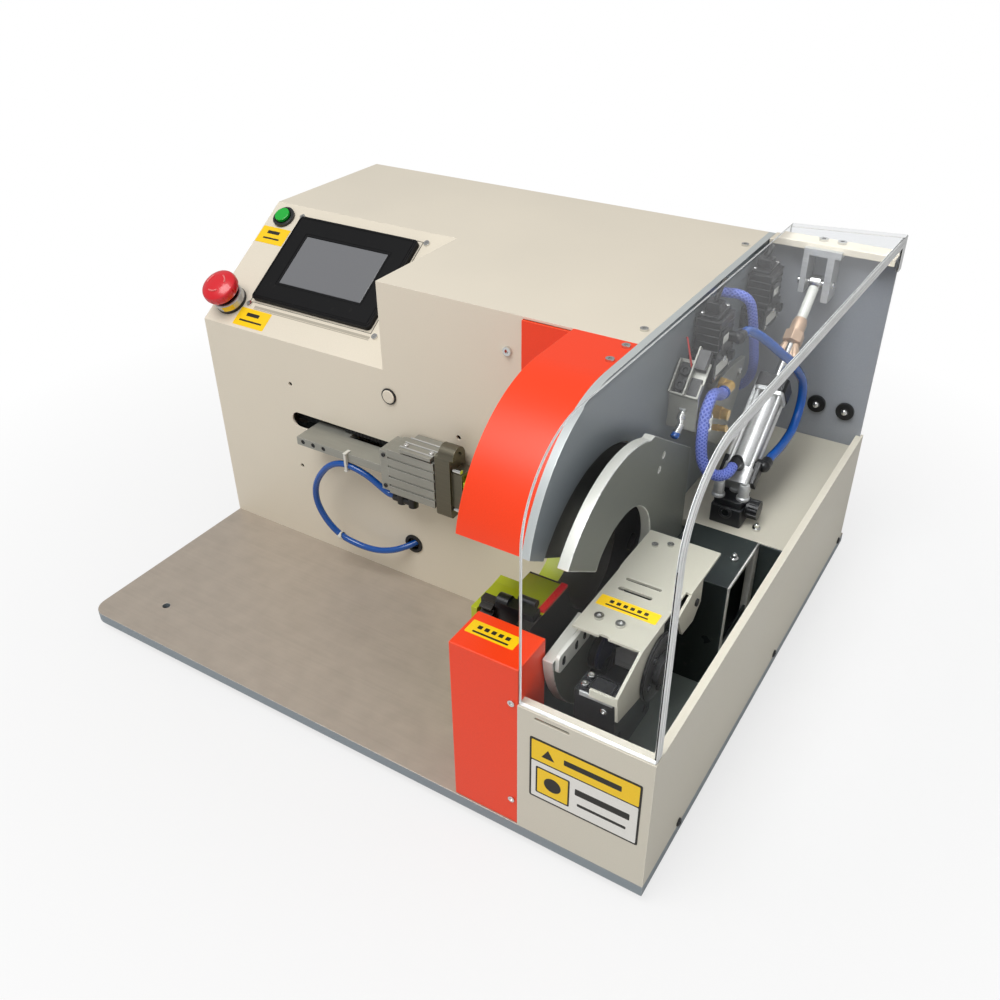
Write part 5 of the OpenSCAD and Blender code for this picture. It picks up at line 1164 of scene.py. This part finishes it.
class MACHINE_OT_valve_details(bpy.types.Operator):
    """Coils, connectors, plates and wires of the two valves, and the fittings beside them."""

    bl_idname = "machine.valve_details"
    bl_label = "Valve details"

    SIDE = node_box("side_plate")[1].x
    # Middle of each valve, as y and z, and how far its face stands off the side plate
    VALVES = ((300, 258), (418, 255))
    FACE = 22
    WIRES = {
        "valve_wire_a": [
            (460, 298, 293), (461, 300, 298), (459, 312, 301), (455, 330, 299), (449.6, 345, 292),
        ],
        "valve_wire_b": [
            (460, 416, 290), (461, 419, 295), (459, 428, 296), (455, 438, 290), (449.6, 444, 280),
        ],
    }
    SENSOR_WIRE = [(462, 260, 248), (459, 262, 254), (456, 265, 260), (453, 268, 266), (449.8, 272, 270)]
    SENSOR = [(0, 0), (4.6, 0), (4.6, 3.0), (3.8, 3.6), (2.0, 3.6), (1.6, 2.2), (0, 2.2)]

    def execute(self, context):
        self.add_valves()
        for name, route in self.WIRES.items():
            hose(name, "black_plastic", route, 0.0042, sides=12)
        hose("sensor_wire", "red_wire", self.SENSOR_WIRE, 0.0016, sides=10)
        with piece("sleeve_tie", "clear_white") as bm:
            sleeve(bm, shifted(479.6, 250.4, 219) @ spun(12, "X"), 4.6, 5.4, -1.6, 1.6)
        self.add_sensors()
        with piece("fitting_collars", "blue_tube") as bm:
            sleeve(bm, shifted(478, 291.6, 222) @ TURNS["-y"], 4.2, 5.4, 0, 2.2, sides=32)
        with piece("valve_plate_screws", "bright_steel") as bm:
            for y, z in ((318, 214), (350, 214), (330, 178)):
                socket_screw(bm, shifted(470, y, z) @ TURNS["x"], 2.8, 1.8)
        return {"FINISHED"}

    def add_valves(self):
        """Face plates, cooling ribs, connectors and screws of both valves."""
        plates, dark, bright = bmesh.new(), bmesh.new(), bmesh.new()
        face = self.SIDE + self.FACE
        for y, z in self.VALVES:
            plate = shifted(face, y, z) @ TURNS["x"] @ spun(90)
            prism(plates, round_outline(26, 9, 0.8, 2), 0.5, shifted(-2, -17, 0, plate))
            prism(plates, round_outline(11, 6, 0.6, 2), 0.4, shifted(-8, 9, 2.6, plate))
            for rib in range(-2, 23, 6):
                block(dark, (self.SIDE + 1.4, face + 0.6), (y - 16.6, y + 14.6), (z + rib, z + rib + 1.6))
            block(dark, (self.SIDE + 3, face - 3), (y - 15, y + 13), (z + 24, z + 27))
            prism(dark, round_outline(13, 11, 2, 4), 8, shifted(self.SIDE + 11, y - 2, z + 26.6))
            rod(dark, (face, y + 10, z - 12), "x", 5, 4.2, sides=6)
            for side in (-12, 11):
                socket_screw(bright, shifted(self.SIDE + 11 + side * 0.5, y + side, z + 27), 1.8, 1.2)
                socket_screw(bright, shifted(face, y + side * 1.3, z - 22) @ TURNS["x"], 2.0, 1.2)
            button = [(0, 0), (2.4, 0), (2.4, 2.2), (1.6, 3), (0, 3)]
            turned(bright, button, shifted(face, y - 4, z - 10) @ TURNS["x"], sides=24)
        new_piece("valve_plates", plates, "clear_white", edge=0.0002)
        new_piece("valve_coils", dark, "black_plastic", edge=0.0004)
        new_piece("valve_screws", bright, "bright_steel")

    def add_sensors(self):
        """Bent mount with a lip and three flanges, two round sensors and a studded tip."""
        wide, thick, tilt = 24, 1.6, 46
        slope = shifted(self.SIDE + 1, 246, 233) @ spun(tilt, "X")
        with piece("sensor_mount", "worn_aluminium", replaces=["sensor_bracket"], edge=0.0004) as bm:
            block(bm, (0, wide), (0, 30), (0, thick), place=slope)
            for x, long, high in ((0, 28, 7), (12, 40, 8), (wide - thick, 12, 5)):
                block(bm, (x, x + thick), (0, long), (thick, high), place=slope)
            block(bm, (0, wide), (0, thick), (thick, 5), place=slope)
            block(bm, (self.SIDE + 1, self.SIDE + 1 + wide), (245.6, 247.4), (214, 234))
        with piece("sensors", "black_plastic", replaces=["sensor_bracket"], edge=0.0003) as bm:
            for y in (8, 20):
                turned(bm, self.SENSOR, shifted(6.8, y, thick, slope), sides=32)
            block(bm, (thick, 12), (thick, 27), (thick, 2.2), place=slope)
            block(bm, (13.6, wide - thick), (thick, 16), (thick, 3.4), place=slope)
            prism(bm, round_outline(9, 16, 1, 3), 6, shifted(18, 30, thick, slope))
        stud = shifted(462, 250, 222) @ spun(128, "X")
        with piece("sensor_stud", "bright_steel") as bm:
            disc(bm, stud, 5.4, 0, 3.4, sides=6)
            disc(bm, stud, 3.0, 3.4, 16, sides=24)
            for k in range(6):
                thread = [(2.9, 0), (3.4, 0.6), (2.9, 1.2), (2.9, 0)]
                turned(bm, thread, shifted(0, 0, 5 + 1.8 * k, stud), sides=24)
        with piece("sensor_tip", "blue_tube") as bm:
            turned(bm, [(0, 16), (3.4, 16), (3.4, 20), (2.4, 21), (0, 21)], stud, sides=24)


class MACHINE_OT_feeder(bpy.types.Operator):
    """Feeding cylinder with its columns, block and elbows, and the rod that it slides on."""

    bl_idname = "machine.feeder"
    bl_label = "Feeding cylinder"

    # Cross pin that holds the rod, the height of the cylinder's foot over the deck, and its distance
    PIN = (496, 452, 262)
    FOOT_RISE, PIN_TO_FOOT = 30.9, 200
    BORE = 4.05
    CYLINDER = {"body": "feeder", "replaces": ["feed_cylinder"]}

    def execute(self, context):
        deck = node_box("rear_deck")[1].z
        tilt = math.asin((self.PIN[2] - deck - self.FOOT_RISE) / self.PIN_TO_FOOT)
        axis = shifted(*self.PIN) @ spun(math.degrees(tilt) - 90, "X")
        self.add_cylinder(axis)
        self.add_fittings(axis)
        self.add_block()
        self.add_rod(axis)
        return {"FINISHED"}

    def add_cylinder(self, axis):
        """Tube between two square heads, with four tie rods and a sensor rail."""
        with piece("feed_tube", "machined_aluminium", edge=0.0004, **self.CYLINDER) as bm:
            sleeve(bm, axis, self.BORE, 9.4, -196, -104, sides=48)
            for low in (-200, -116):
                prism(bm, round_outline(24, 24, 3, 4), 16, shifted(0, 0, low, axis))
            for x, y in corner_points(9):
                disc(bm, shifted(x, y, 0, axis), 1.9, -186, -114, sides=16)
            prism(bm, round_outline(4, 9, 1, 3), 88, shifted(-13.4, 0, -190, axis))

    def add_fittings(self, axis):
        """Black end cap, side clamps, elbows and hose ends of the cylinder."""
        socket = [(0, 0), (2.2, 0), (2.2, 1.6), (1.2, 1.6), (1.2, 0.6), (0, 0.6)]
        elbow = {"u_segments": 24, "v_segments": 16, "radius": 5.2}
        with piece("feed_fittings", "black_plastic", edge=0.0003, **self.CYLINDER) as bm:
            prism(bm, round_outline(26, 26, 3, 4), 12, shifted(0, 0, -112, axis))
            for x, y in corner_points(8.5):
                turned(bm, socket, shifted(x, y, -100, axis), sides=20)
            for x in (-13, 13):
                prism(bm, round_outline(6, 12, 1, 3), 20, shifted(x, 0, -196, axis))
            turned(bm, [(0, 0), (5, 0), (5, 7), (4.4, 10), (0, 10)],
                   shifted(0, -12, -186, axis) @ TURNS["-y"], sides=32)
            bmesh.ops.create_uvsphere(bm, matrix=shifted(0, -22, -186, axis), **elbow)
            disc(bm, shifted(11, 0, -176, axis) @ TURNS["x"], 5, 0, 6, sides=32)
            bmesh.ops.create_uvsphere(bm, matrix=shifted(17, 0, -176, axis), **elbow)
            rod(bm, (496, 281.6, 164.8), "y", 10, 4.8)
            rod(bm, (513, 313.6, 153.6), "y", 9, 4.8)

    def add_block(self):
        """Block on the deck with its bore, and the three columns that carry the cylinder."""
        x, y = 496, 293
        bore = shifted(x, y - 13, 121) @ TURNS["-y"]
        with piece("feed_block", "black_metal", edge=0.0005, **self.CYLINDER) as bm:
            prism(bm, round_outline(27, 26, 1.6, 4), 17, shifted(x, y, 108.4))
            prism(bm, round_outline(24, 23, 1.6, 4), 6.6, shifted(x, y, 125.4))
            rim = [(3.4, 0), (5.6, 0), (5.6, 1.2), (4.6, 1.8), (3.4, 1.8), (3.4, 0)]
            turned(bm, rim, bore, sides=32)
        with piece("block_bore", "glossy_black", body="feeder") as bm:
            disc(bm, bore, 3.3, 0.1, 0.6, sides=28)
        with piece("feed_columns", "machined_aluminium", **self.CYLINDER) as bm:
            for along, across, top in ((486, 286, 146), (496, 301, 148), (506, 290, 146)):
                foot = [(0, 132), (5.6, 132), (5.6, 134), (4.6, 135)]
                head = [(4.6, top - 2), (4.0, top), (0, top)]
                turned(bm, foot + head, shifted(along, across, 0), sides=32)

    def add_rod(self, axis):
        """Cross pin, eye and rod, the pale sleeve over them, and the hexagon nut with its two clips."""
        with piece("feed_rod_steel", "bright_steel", replaces=["feed_rod"], edge=0.0003) as bm:
            x, y, z = self.PIN
            rod(bm, (x - 16, y, z), "x", 32, 3)
            eye = [(3.1, -5), (6.4, -5), (7, -4), (7, 4), (6.4, 5), (3.1, 5), (3.1, -5)]
            turned(bm, eye, axis @ TURNS["x"], sides=40)
            disc(bm, axis, 3.9, -160, -62, sides=40)
        with piece("feed_rod_sleeve", "clear_white", replaces=["feed_rod"]) as bm:
            turned(bm, [(0, -40), (4.0, -40), (4.4, -39), (4.4, -6), (0, -6)], axis, sides=40)
        with piece("feed_rod_nut", "pink_brass", replaces=["feed_rod"], edge=0.0004) as bm:
            bmesh.ops.create_cone(bm, cap_ends=True, segments=6, radius1=9, radius2=9, depth=10,
                                  matrix=shifted(0, 0, -57, axis))
            turned(bm, [(0, -52), (6.5, -52), (6.5, -42), (5.4, -38), (0, -38)], axis, sides=36)
            for side in (-1, 1):
                clip = [(0, 0), (3.6, 0), (3.6, 12), (2.8, 14), (0, 14)]
                turned(bm, clip, shifted(7 * side, 0, -76, axis) @ spun(-14 * side, "Y"), sides=24)


class MACHINE_OT_bay_details(bpy.types.Operator):
    """Small pieces of the feed bracket, the small drive, the tape roller and the reel."""

    bl_idname = "machine.bay_details"
    bl_label = "Feeding bay details"

    DISC = [(0, 0), (13.4, 0), (14, 0.6), (14, 1.6), (13.2, 2.4), (0, 2.4)]
    GROOVE = [(9.9, 0), (10.5, 0.4), (10.5, 1.6), (9.9, 2.0), (9.9, 0)]
    REEL_RIM = [(12.2, 0), (24, 0), (24.6, 0.4), (24, 0.8), (12.2, 0.8), (12.2, 0)]
    REEL_BUTTON = [(0, 0), (2.6, 0), (2.6, 1.5), (1.8, 2.0), (0, 2.0)]
    STUD = [(0, -2), (3.4, -2), (3.4, 0), (2.0, 0.8), (2.0, 3.4), (1.2, 4.2), (0, 4.2)]

    def execute(self, context):
        with piece("motor_disc", "navy") as bm:
            turned(bm, self.DISC, shifted(476.2, 97, 100) @ TURNS["x"], sides=48)
        with piece("drive_trim", "machined_aluminium", edge=0.0002) as bm:
            frame_plate(bm, 16, 12, 1.6, 0.8, shifted(506, 36, 131.0))
            block(bm, (494, 518), (24.2, 25.4), (127.5, 131.2))
        with piece("drive_screws", "bright_steel") as bm:
            socket_screw(bm, shifted(512, 25, 121) @ TURNS["-y"], 2.4, 1.2)
            for x, y in ((495, 30), (495, 39)):
                socket_screw(bm, shifted(x, y, 133), 2.4, 1.0)
        with piece("roller_rings", "rubber", body="tape_roller") as bm:
            start = node_box("feed_bracket")[0].x
            for along in range(5, 44, 5):
                turned(bm, self.GROOVE, shifted(start + along, 140, 136) @ TURNS["x"], sides=40)
        with piece("reel_face", "black_metal", body="reel") as bm:
            place = shifted(524.8, 82, 120) @ TURNS["x"]
            turned(bm, self.REEL_RIM, place, sides=64)
            for k in range(5):
                turned(bm, self.REEL_BUTTON, shifted(18, 0, 0.6, place @ spun(72 * k)), sides=20)
        with piece("deck_studs", "bright_steel") as bm:
            for x, y in ((521, 238), (522, 287)):
                turned(bm, self.STUD, shifted(x, y, 110), sides=24)
        return {"FINISHED"}


SETTINGS = {
    "machine_colours": MachineColours, "machine_sizes": MachineSizes, "machine_studio": StudioSettings,
}
OPERATORS = [
    MACHINE_OT_studio, MACHINE_OT_finishes, MACHINE_OT_hoses, MACHINE_OT_guard, MACHINE_OT_panel,
    MACHINE_OT_labels, MACHINE_OT_sheet_details, MACHINE_OT_clamp_details, MACHINE_OT_valve_details,
    MACHINE_OT_feeder, MACHINE_OT_bay_details,
]


class MACHINE_PT_builder(bpy.types.Panel):
    """Lists the machine's builders and settings."""

    bl_label = "Tape Wrapping Machine"
    bl_idname = "MACHINE_PT_builder"
    bl_space_type = "VIEW_3D"
    bl_region_type = "UI"
    bl_category = "Machine"

    def draw(self, context):
        for operator in OPERATORS:
            self.layout.operator(operator.bl_idname)
        for name, group in SETTINGS.items():
            for setting in group.__annotations__:
                self.layout.prop(getattr(context.scene, name), setting)


CLASSES = [*SETTINGS.values(), *OPERATORS, MACHINE_PT_builder]


def register():
    for item in CLASSES:
        bpy.utils.register_class(item)
    for name, group in SETTINGS.items():
        setattr(bpy.types.Scene, name, bpy.props.PointerProperty(type=group))


def unregister():
    for name in SETTINGS:
        delattr(bpy.types.Scene, name)
    for item in reversed(CLASSES):
        bpy.utils.unregister_class(item)


def main():
    register()
    for operator in OPERATORS:
        group, name = operator.bl_idname.split(".")
        getattr(getattr(bpy.ops, group), name)()


if __name__ == "__main__":
    main()
